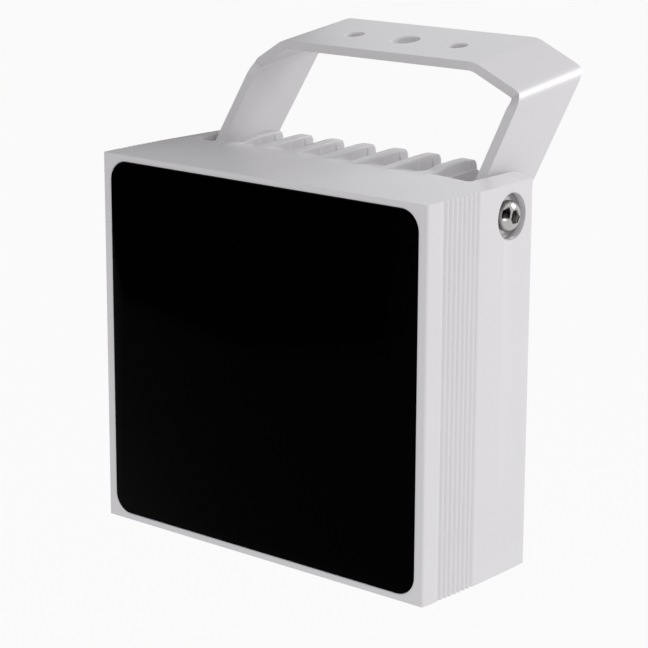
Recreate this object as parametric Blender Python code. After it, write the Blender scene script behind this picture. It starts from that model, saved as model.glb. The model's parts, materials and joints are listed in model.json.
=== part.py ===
# Infrared illuminator with its hanging bracket.
#
# A square cast housing with a flush dark window tilts on two screws in a slanted bracket.
# X runs across the front, +Y to the rear and +Z up. Sizes are in metres.
# Pieces are drawn from the middle of the front face's lower edge. Their parents then move them, so
# that the origin is on the bracket bar's outer face, where the illuminator is fixed.

import math

import bmesh
import bpy
from mathutils import Matrix, Vector

# Small spaces
GAP = 0.0003
OVERRUN = 0.010

# Housing
HEIGHT = 0.135
WIDTH = 0.1468
DEPTH = 0.060
SIDE_SWELL = 0.0003
SIDE_DRAW_IN = 0.0013
SWELL_SHARE = 0.6
DRAW_IN_SHARE = 0.5
CROWN_RISE = 0.0030
CROWN_REACH = 0.055
EDGE_RISE = 0.0005
EDGE_REACH = 0.040
BOTTOM_SHARE = 0.55
CROWN_POWER = 5

# Slots for the bracket's arms, and the cheeks outside them
CHEEK_THICK = 0.0097
CHEEK_BACK = 0.0012
CHEEK_CORNER = 0.0016
SLOT_WIDE = 0.0175
SLOT_DEEP = 0.026
SLOT_CORNER = 0.0020
CHEEK_INNER = WIDTH / 2 - CHEEK_THICK
CHEEK_REAR = DEPTH - CHEEK_BACK
SLOT_INNER = CHEEK_INNER - SLOT_WIDE
SLOT_FRONT = DEPTH - SLOT_DEEP

# Heat fins, and the channels and scoops between them
FIN_COUNT = 7
FIN_STEM = 0.0048
FIN_HEAD = 0.0066
FIN_HEAD_DEEP = 0.0040
FIN_HEAD_SLOPE = 0.0006
FIN_CORNER = 0.0010
FIN_LONG = 0.014
FIN_PITCH = (2 * SLOT_INNER - FIN_STEM) / (FIN_COUNT - 1)
CHANNEL_FLOOR = DEPTH - FIN_LONG
CHANNEL_CORNER = 0.0025
SCOOP_LONG = 0.0175
SCOOP_DROP = 0.0030
SCOOP_BEND = 0.0020
SCOOP_FOOT = 0.0065
SCOOP_START = CHANNEL_FLOOR - SCOOP_LONG
SCOOP_TURN = CHANNEL_FLOOR - SCOOP_BEND

# Shallow grooves down both sides
GROOVE_COUNT = 8
GROOVE_FIRST = 0.0089
GROOVE_PITCH = 0.00246
GROOVE_WIDTH = 0.0011
GROOVE_DEEP = 0.0006

# Window, its recess and its seal
WINDOW_SIDE_MARGIN = 0.0040
WINDOW_END_MARGIN = 0.0025
WINDOW_CORNER = 0.0070
WINDOW_PROUD = 0.0005
WINDOW_THICK = 0.0033
SEAL_INSET = 0.0016
SEAL_WIDE = 0.0018
SEAL_THICK = 0.0012

# Hollow for the electronics: a wide cavity in front of a deeper well
CAVITY_INSET = 0.0054
WALL = 0.0035
CAVITY_FLOOR = SLOT_FRONT - WALL
WELL_HALF = SLOT_INNER - WALL
WELL_FLOOR = CHANNEL_FLOOR - WALL
WELL_MARGIN = 0.010
WELL_CORNER = 0.0030

# Emitter board and what it carries
BOARD_THICK = 0.0016
BOARD_SIDE_SPACE = 0.0047
BOARD_CORNER = 0.0020
BOARD_HALF = WELL_HALF - BOARD_SIDE_SPACE
EMITTER_BOARD_LOW_SHARE = 0.3556
EMITTER_BOARD_LOW = HEIGHT * EMITTER_BOARD_LOW_SHARE
EMITTER_BOARD_DROP = 0.014
EMITTER_BOARD_HIGH = HEIGHT - EMITTER_BOARD_DROP
PAD_SCREW_SPACE = 0.0032
PAD_HALF = 2 * FIN_PITCH - PAD_SCREW_SPACE
PAD_MARGIN = 0.0020
PAD_THICK = 0.0010
EMITTER_ROWS = 3
EMITTER_STEP_X_SHARE = 0.4737
EMITTER_STEP_Z_SHARE = 0.2466
EMITTER_STEP_X = BOARD_HALF * EMITTER_STEP_X_SHARE
EMITTER_STEP_Z = (EMITTER_BOARD_HIGH - EMITTER_BOARD_LOW) * EMITTER_STEP_Z_SHARE
EMITTER_RADIUS = 0.0025
EMITTER_BASE = 0.0008
EMITTER_DOME = 0.0018
LENS_EDGE_SHARE = 1.528
LENS_PLATE_HALF_X = EMITTER_STEP_X * LENS_EDGE_SHARE
LENS_PLATE_HALF_Z = EMITTER_STEP_Z * LENS_EDGE_SHARE
LENS_PLATE_DEEP = 0.0080
LENS_PLATE_WALL = 0.0020
LENS_SHARE = 0.4
LENS_BULGE = 0.0026
BOARD_SCREW_MARGIN = 0.0040

# Driver board and what it carries
DRIVER_MARGIN = 0.0020
DRIVER_HIGH_SHARE = 0.3259
DRIVER_LOW = WELL_MARGIN + DRIVER_MARGIN
DRIVER_HIGH = HEIGHT * DRIVER_HIGH_SHARE
POST_INSET = 0.0045
POST_LONG = 0.0085
POST_RADIUS = 0.0032
POST_X = BOARD_HALF - POST_INSET
POST_LOW = DRIVER_LOW + POST_INSET
POST_HIGH = DRIVER_HIGH - POST_INSET
POST_TOP = WELL_FLOOR - POST_LONG
INDUCTOR_SHARE = -0.58
INDUCTOR_RADIUS = 0.0055
INDUCTOR_WAIST = 0.0044
INDUCTOR_HIGH = 0.0070
INDUCTOR_FLANGE = 0.0014
SENSOR_SHARE = -0.105
SENSOR_RADIUS = 0.0030
SENSOR_HIGH = 0.0060
CAPACITOR_SHARE = 0.34
CAPACITOR_STEP = 0.0060
CAPACITOR_RADIUS = 0.0040
CAPACITOR_HIGH = 0.0100
CAPACITOR_BEVEL = 0.0006
BLOCK_SHARE = 0.69
BLOCK_WIDE = 0.0080
BLOCK_LONG = 0.0150
BLOCK_HIGH = 0.0090
BLOCK_HOLE = 0.0012
BLOCK_HOLE_DEEP = 0.0040
BLOCK_WAYS = 3

# Screws that hold the boards
SMALL_SHANK = 0.00125
SMALL_HEAD = 0.0022
SMALL_HEAD_HIGH = 0.0014
SMALL_LENGTH = 0.0080
SMALL_SOCKET = 0.0015
SMALL_SOCKET_DEEP = 0.0009
SMALL_HOLE_SPARE = 0.0015

# Cable gland
GLAND_HEIGHT = 0.026
GLAND_BOSS_RADIUS = 0.0106
GLAND_BOSS_LONG = 0.0040
GLAND_BOSS_REAR = CHANNEL_FLOOR + GLAND_BOSS_LONG
GLAND_CLEAR_RADIUS = 0.0112
GLAND_THREAD = 0.0060
GLAND_BORE = 0.0034
GLAND_FLATS = 0.0170
GLAND_FLANGE = 0.0045
GLAND_COLLAR = 0.0052
GLAND_INNER_LONG = 0.0063
GLAND_INNER_END = WELL_FLOOR - GLAND_INNER_LONG
GLAND_NUT_RADIUS = 0.0086
GLAND_NUT_LONG = 0.0118
GLAND_NUT_LIP = 0.0020
GLAND_NUT_ROUND = 0.0025
GLAND_SEAL_INNER = 0.0032
GLAND_SEAL_OUTER = 0.0060
GLAND_SEAL_LONG = 0.0038
GLAND_LOCK_FLATS = 0.0150
GLAND_LOCK_THICK = 0.0045

# Bracket: arms, slanted shoulders and a bar, seen square on, then its slanted edges from the side
ARM_SPACE = 0.0022
ARM_THICK = 0.0039
ARM_OUTER = CHEEK_INNER - ARM_SPACE
BAR_THICK = 0.0032
SHOULDER_RISE = 0.0165
BAR_RISE = 0.0266
SHOULDER_WIDE = 0.0178
SHOULDER_FORWARD = 0.0022
SHOULDER_LOW = HEIGHT + SHOULDER_RISE
BAR_TOP = HEIGHT + BAR_RISE
BAR_HALF = ARM_OUTER - SHOULDER_WIDE
FOLD_RADIUS = 0.0035
BAR_PITCH = math.radians(7.7)
FRONT_LEAN = math.radians(37)
REAR_LEAN = math.radians(39.5)
TIP_RADIUS = 0.0105
TAPER_DROP = 0.0040
TAPER_HEIGHT = HEIGHT - TAPER_DROP
CENTRE_HOLE = 0.0050
SIDE_HOLE = 0.00325
HOLE_STEP = 0.0235
HOLE_FORWARD = 0.0016
MOUNT_BACK = 0.0110

# Pivot and its fastenings
PIVOT_BACK = 0.014
PIVOT_DROP = 0.0106
PIVOT_Y = DEPTH - PIVOT_BACK
PIVOT_Z = HEIGHT - PIVOT_DROP
ARM_FRONT_FROM_PIVOT = 0.0005
ARM_REAR_FROM_PIVOT = 0.0305
FRONT_EDGE = PIVOT_Y - ARM_FRONT_FROM_PIVOT
REAR_EDGE = PIVOT_Y + ARM_REAR_FROM_PIVOT
PIVOT_SHANK = 0.0030
PIVOT_HEAD = 0.00535
PIVOT_HEAD_HIGH = 0.0033
PIVOT_HEAD_RIM = 0.0006
PIVOT_SOCKET = 0.0040
PIVOT_SOCKET_DEEP = 0.0020
PIVOT_SPARE = 0.0018
COUNTERBORE_RADIUS = 0.0082
COUNTERBORE_BACK = 0.0013
COUNTERBORE_FLOOR = WIDTH / 2 - COUNTERBORE_BACK
WASHER_RADIUS = 0.0075
WASHER_THICK = 0.0014
FRICTION_RADIUS = 0.0065
FRICTION_THICK = ARM_SPACE - 2 * GAP
NUT_FLATS = 0.0100
NUT_THICK = 0.0050
PIVOT_END = ARM_OUTER - ARM_THICK - NUT_THICK - PIVOT_SPARE

PIVOT = Vector((0, PIVOT_Y, PIVOT_Z))
EMITTER_BOARD_REAR = WELL_FLOOR - 2 * GAP - PAD_THICK
EMITTER_BOARD_FRONT = EMITTER_BOARD_REAR - BOARD_THICK
EMITTER_BOARD_MIDDLE = (EMITTER_BOARD_LOW + EMITTER_BOARD_HIGH) / 2
DRIVER_REAR = POST_TOP - GAP
DRIVER_FRONT = DRIVER_REAR - BOARD_THICK
DRIVER_MIDDLE = (DRIVER_LOW + DRIVER_HIGH) / 2
RECESS_FLOOR = WINDOW_THICK - WINDOW_PROUD + GAP


def shoulder_edge(foot, lean):
    """How far along the bracket's folds one of the arms' slanted edges meets the shoulder's fold."""
    rise = SHOULDER_LOW / math.cos(BAR_PITCH) - HEIGHT
    y = (foot + rise * math.tan(lean)) / (1 - math.tan(lean) * math.tan(BAR_PITCH))
    z = (SHOULDER_LOW + y * math.sin(BAR_PITCH)) / math.cos(BAR_PITCH)
    return y * math.cos(BAR_PITCH) + z * math.sin(BAR_PITCH)


SHOULDER_FRONT = shoulder_edge(FRONT_EDGE, FRONT_LEAN)
SHOULDER_REAR = shoulder_edge(REAR_EDGE, REAR_LEAN)
BAR_MIDDLE = (SHOULDER_FRONT + SHOULDER_REAR) / 2 - SHOULDER_FORWARD


def bar_frame():
    """Turn of the bracket's bar, which leans back from level."""
    return Matrix.Rotation(BAR_PITCH, 4, "X")


def mount_point():
    """The point on the bar's outer face that becomes the origin."""
    return bar_frame() @ Vector((0, BAR_MIDDLE - MOUNT_BACK, BAR_TOP))


def clear_scene():
    for item in list(bpy.data.objects):
        bpy.data.objects.remove(item, do_unlink=True)


def material(name, colour, roughness, metallic=0.0):
    result = bpy.data.materials.get(name) or bpy.data.materials.new(name)
    result.use_nodes = True
    shader = result.node_tree.nodes["Principled BSDF"]
    shader.inputs["Base Color"].default_value = (*colour, 1)
    shader.inputs["Roughness"].default_value = roughness
    shader.inputs["Metallic"].default_value = metallic
    return result


def white_paint():
    return material("white_paint", (0.66, 0.67, 0.68), 0.45)


def black_window():
    return material("black_window", (0.004, 0.004, 0.004), 0.15)


def stainless_steel():
    return material("stainless_steel", (0.55, 0.55, 0.55), 0.25, 1.0)


def black_rubber():
    return material("black_rubber", (0.02, 0.02, 0.02), 0.8)


def green_board():
    return material("green_board", (0.02, 0.12, 0.05), 0.5)


def white_board():
    return material("white_board", (0.7, 0.7, 0.68), 0.5)


def grey_pad():
    return material("grey_pad", (0.35, 0.37, 0.40), 0.8)


def clear_lens():
    return material("clear_lens", (0.8, 0.82, 0.84), 0.1)


def amber_emitter():
    return material("amber_emitter", (0.65, 0.55, 0.3), 0.2)


def dark_moulding():
    return material("dark_moulding", (0.03, 0.03, 0.035), 0.5)


def green_moulding():
    return material("green_moulding", (0.05, 0.25, 0.12), 0.5)


def can_metal():
    return material("can_metal", (0.45, 0.46, 0.48), 0.35, 1.0)


def white_nylon():
    return material("white_nylon", (0.62, 0.62, 0.6), 0.5)


def rounded_outline(corners, steps=5):
    """Points of a closed outline whose corners (x, y, radius) are rounded by arcs."""
    points = []
    for index, (x, y, radius) in enumerate(corners):
        corner = Vector((x, y))
        if radius == 0:
            points.append(corner)
            continue
        before = (Vector(corners[index - 1][:2]) - corner).normalized()
        after = (Vector(corners[(index + 1) % len(corners)][:2]) - corner).normalized()
        half = before.angle(after) / 2
        centre = corner + (before + after).normalized() * (radius / math.sin(half))
        first = corner + before * (radius / math.tan(half)) - centre
        last = corner + after * (radius / math.tan(half)) - centre
        start = math.atan2(first.y, first.x)
        turn = (math.atan2(last.y, last.x) - start + math.pi) % (2 * math.pi) - math.pi
        for step in range(steps + 1):
            angle = start + turn * step / steps
            points.append(centre + radius * Vector((math.cos(angle), math.sin(angle))))
    return points


def rectangle(left, right, low, high, radius=0.0):
    corners = [(left, low), (right, low), (right, high), (left, high)]
    return rounded_outline([(x, y, radius) for x, y in corners])


def circle(x, y, radius, steps=24):
    turns = [2 * math.pi * step / steps for step in range(steps)]
    return [Vector((x + radius * math.cos(turn), y + radius * math.sin(turn))) for turn in turns]


def hexagon(x, y, flats):
    """A hexagon given by its size across the flats."""
    return circle(x, y, flats / 2 / math.cos(math.pi / 6), 6)


def prism(outline, axis, low, high):
    """A closed body with one outline, drawn square to the axis, from low to high along it."""
    axes = {"X": lambda a, b, c: (c, a, b), "Y": lambda a, b, c: (a, c, b), "Z": lambda a, b, c: (a, b, c)}
    place = axes[axis]
    mesh = bmesh.new()
    face = mesh.faces.new([mesh.verts.new(place(a, b, low)) for a, b in outline])
    moved = bmesh.ops.extrude_face_region(mesh, geom=[face])["geom"]
    ends = [item for item in moved if isinstance(item, bmesh.types.BMVert)]
    bmesh.ops.translate(mesh, verts=ends, vec=place(0, 0, high - low))
    bmesh.ops.recalc_face_normals(mesh, faces=mesh.faces)
    return mesh


def turned(profile, axis, x, y, steps=24, hollow=False):
    """A body turned about a line along the axis. The profile lists (radius, place along the axis)."""
    mesh = bmesh.new()
    points = [mesh.verts.new((radius, 0, along)) for radius, along in profile]
    edges = [mesh.edges.new(pair) for pair in zip(points, points[1:])]
    if hollow:
        edges.append(mesh.edges.new((points[-1], points[0])))
    bmesh.ops.spin(mesh, geom=points + edges, axis=(0, 0, 1), cent=(0, 0, 0),
                   angle=2 * math.pi, steps=steps, use_merge=True)
    bmesh.ops.remove_doubles(mesh, verts=mesh.verts, dist=GAP / 100)
    turns = {"X": Matrix.Rotation(math.pi / 2, 4, "Y"), "Y": Matrix.Rotation(-math.pi / 2, 4, "X"),
             "Z": Matrix.Identity(4)}
    places = {"X": (0, x, y), "Y": (x, 0, y), "Z": (x, y, 0)}
    bmesh.ops.transform(mesh, matrix=Matrix.Translation(places[axis]) @ turns[axis], verts=mesh.verts)
    bmesh.ops.recalc_face_normals(mesh, faces=mesh.faces)
    return mesh


def washer_mesh(axis, x, y, inner, outer, low, high, steps=24):
    profile = [(inner, low), (outer, low), (outer, high), (inner, high)]
    return turned(profile, axis, x, y, steps, hollow=True)


def add_piece(name, mesh, finish, parent):
    """Make an object of the mesh and hang it on its parent, which carries the joint's axis."""
    data = bpy.data.meshes.new(name)
    mesh.to_mesh(data)
    mesh.free()
    data.shade_smooth()
    data.set_sharp_from_angle(angle=math.radians(30))
    data.materials.append(finish)
    piece = bpy.data.objects.new(name, data)
    bpy.context.collection.objects.link(piece)
    piece.parent = parent
    piece.location = -Vector(parent["drawn_at"])
    return piece


def add_copy(name, source, shift):
    """A second piece with the same mesh and cuts, moved by the shift."""
    piece = source.copy()
    piece.name = name
    bpy.context.collection.objects.link(piece)
    piece.location = source.location + Vector(shift)
    return piece


def shape(target, name, mesh, operation="DIFFERENCE"):
    """Cut the target with a hidden tool, or join the tool to it."""
    tool = add_piece(target.name + "_" + name, mesh, target.data.materials[0], target.parent)
    tool.hide_render = True
    tool.display_type = "WIRE"
    change = target.modifiers.new(name, "BOOLEAN")
    change.operation = operation
    change.solver = "EXACT"
    change.object = tool
    return tool


def add_axis(name, drawn_at, location):
    empty = bpy.data.objects.new(name, None)
    empty["drawn_at"] = drawn_at
    empty.location = location
    bpy.context.collection.objects.link(empty)
    return empty


def half_width(y):
    """Half the housing's width at a depth: a little swell near the front, drawn in at the rear."""
    share = y / DEPTH
    swell = SIDE_SWELL * math.sin(math.pi * min(1.0, share / SWELL_SHARE)) ** 2
    drawn = max(0.0, (share - DRAW_IN_SHARE) / (1 - DRAW_IN_SHARE))
    return WIDTH / 2 + swell - SIDE_DRAW_IN * drawn ** 1.5


def top_height(x, y):
    """Height of the crowned top surface: flat across the front edge, arched behind it."""
    centre = CROWN_RISE * (1 - (1 - min(1.0, max(0.0, y) / CROWN_REACH)) ** 2)
    edge = EDGE_RISE * (1 - (1 - min(1.0, max(0.0, y) / EDGE_REACH)) ** 2)
    return centre - (centre - edge) * min(1.0, abs(x) * 2 / WIDTH) ** CROWN_POWER


def fin_centres():
    middle = (FIN_COUNT - 1) / 2
    return [(middle - index) * FIN_PITCH for index in range(FIN_COUNT)]


def side_outline():
    """Right side of the housing's plan, from the front corner to the slot's inner wall."""
    corners = [(WIDTH / 2, 0, 0)]
    bevel = GROOVE_WIDTH / 4
    for index in range(GROOVE_COUNT):
        front = GROOVE_FIRST + index * GROOVE_PITCH - GROOVE_WIDTH / 2
        rear = front + GROOVE_WIDTH
        corners.append((half_width(front), front, 0))
        corners.append((half_width(front) - GROOVE_DEEP, front + bevel, 0))
        corners.append((half_width(rear) - GROOVE_DEEP, rear - bevel, 0))
        corners.append((half_width(rear), rear, 0))
    steps = 5
    start = GROOVE_FIRST + GROOVE_COUNT * GROOVE_PITCH
    for index in range(steps):
        y = start + (CHEEK_REAR - CHEEK_CORNER * 2 - start) * index / (steps - 1)
        corners.append((half_width(y), y, 0))
    corners.append((half_width(CHEEK_REAR), CHEEK_REAR, CHEEK_CORNER))
    corners.append((CHEEK_INNER, CHEEK_REAR, CHEEK_CORNER / 2))
    corners.append((CHEEK_INNER, SLOT_FRONT, SLOT_CORNER))
    return corners


def fin_outline(x, right_floor, left_floor):
    """One fin's plan, from the floor on its right round its head to the floor on its left."""
    stem = FIN_STEM / 2
    head = FIN_HEAD / 2
    neck = DEPTH - FIN_HEAD_DEEP
    right = SLOT_CORNER if right_floor == SLOT_FRONT else CHANNEL_CORNER
    left = SLOT_CORNER if left_floor == SLOT_FRONT else CHANNEL_CORNER
    return [
        (x + stem, right_floor, right),
        (x + stem, neck - FIN_HEAD_SLOPE, 0),
        (x + head, neck, 0),
        (x + head, DEPTH, FIN_CORNER),
        (x - head, DEPTH, FIN_CORNER),
        (x - head, neck, 0),
        (x - stem, neck - FIN_HEAD_SLOPE, 0),
        (x - stem, left_floor, left),
    ]


def housing_outline():
    """The housing's whole plan, the same at every height."""
    right = side_outline()
    corners = list(right)
    centres = fin_centres()
    for index, x in enumerate(centres):
        right_floor = SLOT_FRONT if index == 0 else CHANNEL_FLOOR
        left_floor = SLOT_FRONT if index == FIN_COUNT - 1 else CHANNEL_FLOOR
        corners += fin_outline(x, right_floor, left_floor)
    corners += [(-x, y, radius) for x, y, radius in reversed(right)]
    return rounded_outline(corners, 2)


def crowned_block():
    """A block with the housing's arched top and bottom, wider than its plan."""
    columns = 14
    rows = 7
    mesh = bmesh.new()
    reach = WIDTH / 2 + OVERRUN
    front = -OVERRUN
    rear = DEPTH + OVERRUN
    sheets = []
    for upper in (True, False):
        sheet = []
        for row in range(rows + 1):
            share = row / rows
            y = DEPTH * share if 0 < row < rows else (front if row == 0 else rear)
            line = []
            for column in range(columns + 1):
                x = WIDTH / 2 * math.sin(math.pi * (column / columns - 0.5))
                if column in (0, columns):
                    x = math.copysign(reach, column - 1)
                rise = top_height(x, y)
                z = HEIGHT + rise if upper else -BOTTOM_SHARE * rise
                line.append(mesh.verts.new((x, y, z)))
            sheet.append(line)
        sheets.append(sheet)
    for sheet in sheets:
        for near, far in zip(sheet, sheet[1:]):
            for a, b, c, d in zip(near, near[1:], far[1:], far):
                mesh.faces.new((a, b, c))
                mesh.faces.new((a, c, d))
    bmesh.ops.bridge_loops(mesh, edges=[edge for edge in mesh.edges if edge.is_boundary])
    bmesh.ops.recalc_face_normals(mesh, faces=mesh.faces)
    return mesh


def scoop_outline(upper):
    """Side view of the cut that rolls the cap down into a channel."""
    steps = 6
    crown = top_height(0, SCOOP_START)
    line = [(SCOOP_START - SCOOP_FOOT, crown + SCOOP_DROP), (SCOOP_START, crown)]
    for index in range(1, steps + 1):
        share = index / steps
        line.append((SCOOP_START + (SCOOP_TURN - SCOOP_START) * share, crown - SCOOP_DROP * share ** 2))
    foot = crown - SCOOP_DROP - SCOOP_FOOT
    turn = CHANNEL_FLOOR - SCOOP_TURN
    for angle in (30, 60, 90):
        bend = math.radians(angle)
        line.append((SCOOP_TURN + turn * math.sin(bend), foot + SCOOP_FOOT * math.cos(bend)))
    line.append((CHANNEL_FLOOR + FIN_HEAD_SLOPE, foot))
    line.append((CHANNEL_FLOOR + FIN_HEAD_SLOPE, crown + SCOOP_DROP))
    if upper:
        return [Vector((y, HEIGHT + z)) for y, z in line]
    return [Vector((y, -z + crown * (1 - BOTTOM_SHARE))) for y, z in line]


def cut_scoops(housing):
    """Roll the cap down between each pair of fins, at the top and at the bottom."""
    for index, (right, left) in enumerate(zip(fin_centres(), fin_centres()[1:])):
        for upper in (True, False):
            mesh = prism(scoop_outline(upper), "X", left + FIN_STEM / 2, right - FIN_STEM / 2)
            place = "top" if upper else "bottom"
            shape(housing, f"scoop_{place}_{index + 1}", mesh)


def inset_rectangle(inset, radius):
    """The window's outline drawn inwards, or outwards where the inset is negative."""
    half = WIDTH / 2 - WINDOW_SIDE_MARGIN - inset
    low = WINDOW_END_MARGIN + inset
    return rectangle(-half, half, low, HEIGHT - low, radius - inset)


def frame_mesh(outer_inset, inner_inset, low, high):
    """A closed frame between two insets of the window's outline."""
    mesh = bmesh.new()
    loops = []
    for inset in (outer_inset, inner_inset):
        outline = inset_rectangle(inset, WINDOW_CORNER)
        for y in (low, high):
            loops.append([mesh.verts.new((x, y, z)) for x, z in outline])
    order = [loops[0], loops[1], loops[3], loops[2]]
    for near, far in zip(order, order[1:] + order[:1]):
        for index in range(len(near)):
            mesh.faces.new((near[index - 1], near[index], far[index], far[index - 1]))
    bmesh.ops.recalc_face_normals(mesh, faces=mesh.faces)
    return mesh


def small_hole_places():
    """Places of the emitter board's screws and of the driver board's screws, as (x, z)."""
    x = 2 * FIN_PITCH
    low = EMITTER_BOARD_LOW + BOARD_SCREW_MARGIN
    high = EMITTER_BOARD_HIGH - BOARD_SCREW_MARGIN
    emitter = [(side * x, z) for side in (-1, 1) for z in (low, high)]
    driver = [(side * POST_X, z) for side in (-1, 1) for z in (POST_LOW, POST_HIGH)]
    return emitter, driver


def cut_hollow(housing):
    """The window's recess, its seal's groove and the stepped hollow behind."""
    recess = inset_rectangle(-GAP, WINDOW_CORNER)
    shape(housing, "recess", prism(recess, "Y", -OVERRUN, RECESS_FLOOR))
    groove = frame_mesh(SEAL_INSET - GAP, SEAL_INSET + SEAL_WIDE + GAP,
                        RECESS_FLOOR - GAP, RECESS_FLOOR + SEAL_THICK + GAP)
    shape(housing, "seal_groove", groove)
    cavity = inset_rectangle(CAVITY_INSET, WINDOW_CORNER)
    shape(housing, "cavity", prism(cavity, "Y", RECESS_FLOOR - GAP, CAVITY_FLOOR))
    well = rectangle(-WELL_HALF, WELL_HALF, WELL_MARGIN, HEIGHT - WELL_MARGIN, WELL_CORNER)
    shape(housing, "well", prism(well, "Y", CAVITY_FLOOR - GAP, WELL_FLOOR))


def add_board_posts(housing):
    """Posts for the driver board, and blind holes for both boards' screws."""
    emitter, driver = small_hole_places()
    hole = SMALL_SHANK + GAP
    for index, (x, z) in enumerate(driver):
        post = prism(circle(x, z, POST_RADIUS, 16), "Y", POST_TOP, WELL_FLOOR + POST_RADIUS / 2)
        shape(housing, f"post_{index + 1}", post, "UNION")
        end = DRIVER_FRONT - GAP + SMALL_LENGTH + SMALL_HOLE_SPARE
        shape(housing, f"post_hole_{index + 1}", prism(circle(x, z, hole, 12), "Y", POST_TOP - GAP, end))
    for index, (x, z) in enumerate(emitter):
        end = EMITTER_BOARD_FRONT - GAP + SMALL_LENGTH + SMALL_HOLE_SPARE
        shape(housing, f"board_hole_{index + 1}", prism(circle(x, z, hole, 12), "Y", WELL_FLOOR - GAP, end))


def add_gland_boss(housing):
    """A round boss for the cable gland, with the middle fin cut away behind it."""
    clear = prism(circle(0, GLAND_HEIGHT, GLAND_CLEAR_RADIUS), "Y", GLAND_BOSS_REAR, DEPTH + OVERRUN)
    shape(housing, "gland_clearing", clear)
    root = WELL_FLOOR + GLAND_FLANGE / 3
    boss = prism(circle(0, GLAND_HEIGHT, GLAND_BOSS_RADIUS), "Y", root, GLAND_BOSS_REAR)
    shape(housing, "gland_boss", boss, "UNION")
    bore = prism(circle(0, GLAND_HEIGHT, GLAND_THREAD + GAP), "Y", WELL_FLOOR - GAP, GLAND_BOSS_REAR + GAP)
    shape(housing, "gland_bore", bore)


def cut_pivot_bores(housing):
    """Bores through both cheeks, each with a shallow counterbore for its washer."""
    for side, name in ((1, "right"), (-1, "left")):
        bore = circle(PIVOT_Y, PIVOT_Z, PIVOT_SHANK + GAP, 16)
        ends = sorted((side * (CHEEK_INNER - GAP * 2), side * (WIDTH / 2 + OVERRUN)))
        shape(housing, f"pivot_bore_{name}", prism(bore, "X", *ends))
        wide = circle(PIVOT_Y, PIVOT_Z, COUNTERBORE_RADIUS, 28)
        ends = sorted((side * COUNTERBORE_FLOOR, side * (WIDTH / 2 + OVERRUN)))
        shape(housing, f"counterbore_{name}", prism(wide, "X", *ends))


def add_housing(parent):
    block = prism(housing_outline(), "Z", -OVERRUN, HEIGHT + OVERRUN)
    housing = add_piece("housing", block, white_paint(), parent)
    shape(housing, "crown", crowned_block(), "INTERSECT")
    cut_scoops(housing)
    cut_hollow(housing)
    add_board_posts(housing)
    add_gland_boss(housing)
    cut_pivot_bores(housing)


def add_window(parent):
    window = prism(inset_rectangle(0, WINDOW_CORNER), "Y", -WINDOW_PROUD, WINDOW_THICK - WINDOW_PROUD)
    add_piece("window", window, black_window(), parent)
    seal = frame_mesh(SEAL_INSET, SEAL_INSET + SEAL_WIDE, RECESS_FLOOR, RECESS_FLOOR + SEAL_THICK)
    add_piece("window_seal", seal, black_rubber(), parent)


def add_emitter_board(parent):
    """The emitter board on its heat pad, held by screws into the roots of two fins."""
    pad = rectangle(-PAD_HALF, PAD_HALF, EMITTER_BOARD_LOW + PAD_MARGIN, EMITTER_BOARD_HIGH - PAD_MARGIN)
    rear = WELL_FLOOR - GAP
    add_piece("thermal_pad", prism(pad, "Y", rear - PAD_THICK, rear), grey_pad(), parent)
    outline = rectangle(-BOARD_HALF, BOARD_HALF, EMITTER_BOARD_LOW, EMITTER_BOARD_HIGH, BOARD_CORNER)
    mesh = prism(outline, "Y", EMITTER_BOARD_FRONT, EMITTER_BOARD_REAR)
    board = add_piece("emitter_board", mesh, white_board(), parent)
    places, _ = small_hole_places()
    for index, (x, z) in enumerate(places):
        hole = circle(x, z, SMALL_SHANK + GAP, 12)
        ends = (EMITTER_BOARD_FRONT - GAP, EMITTER_BOARD_REAR + GAP)
        shape(board, f"hole_{index + 1}", prism(hole, "Y", *ends))


def emitter_places():
    steps = [index - (EMITTER_ROWS - 1) / 2 for index in range(EMITTER_ROWS)]
    return [(x * EMITTER_STEP_X, EMITTER_BOARD_MIDDLE + z * EMITTER_STEP_Z) for z in steps for x in steps]


def add_emitters(parent):
    """Infrared emitters in a square, each a flat base with a dome towards the front."""
    base = EMITTER_BOARD_FRONT - GAP
    shoulder = base - EMITTER_BASE
    profile = [(0, base), (EMITTER_RADIUS, base), (EMITTER_RADIUS, shoulder)]
    dome = EMITTER_RADIUS - EMITTER_BASE
    for angle in (0, 30, 60, 90):
        bend = math.radians(angle)
        reach = 0 if angle == 90 else dome * math.cos(bend)
        profile.append((reach, shoulder - EMITTER_DOME * math.sin(bend)))
    places = emitter_places()
    x, z = places[0]
    first = add_piece("emitter_1", turned(profile, "Y", x, z, 10), amber_emitter(), parent)
    for index, (other_x, other_z) in enumerate(places[1:]):
        add_copy(f"emitter_{index + 2}", first, (other_x - x, 0, other_z - z))


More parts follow.
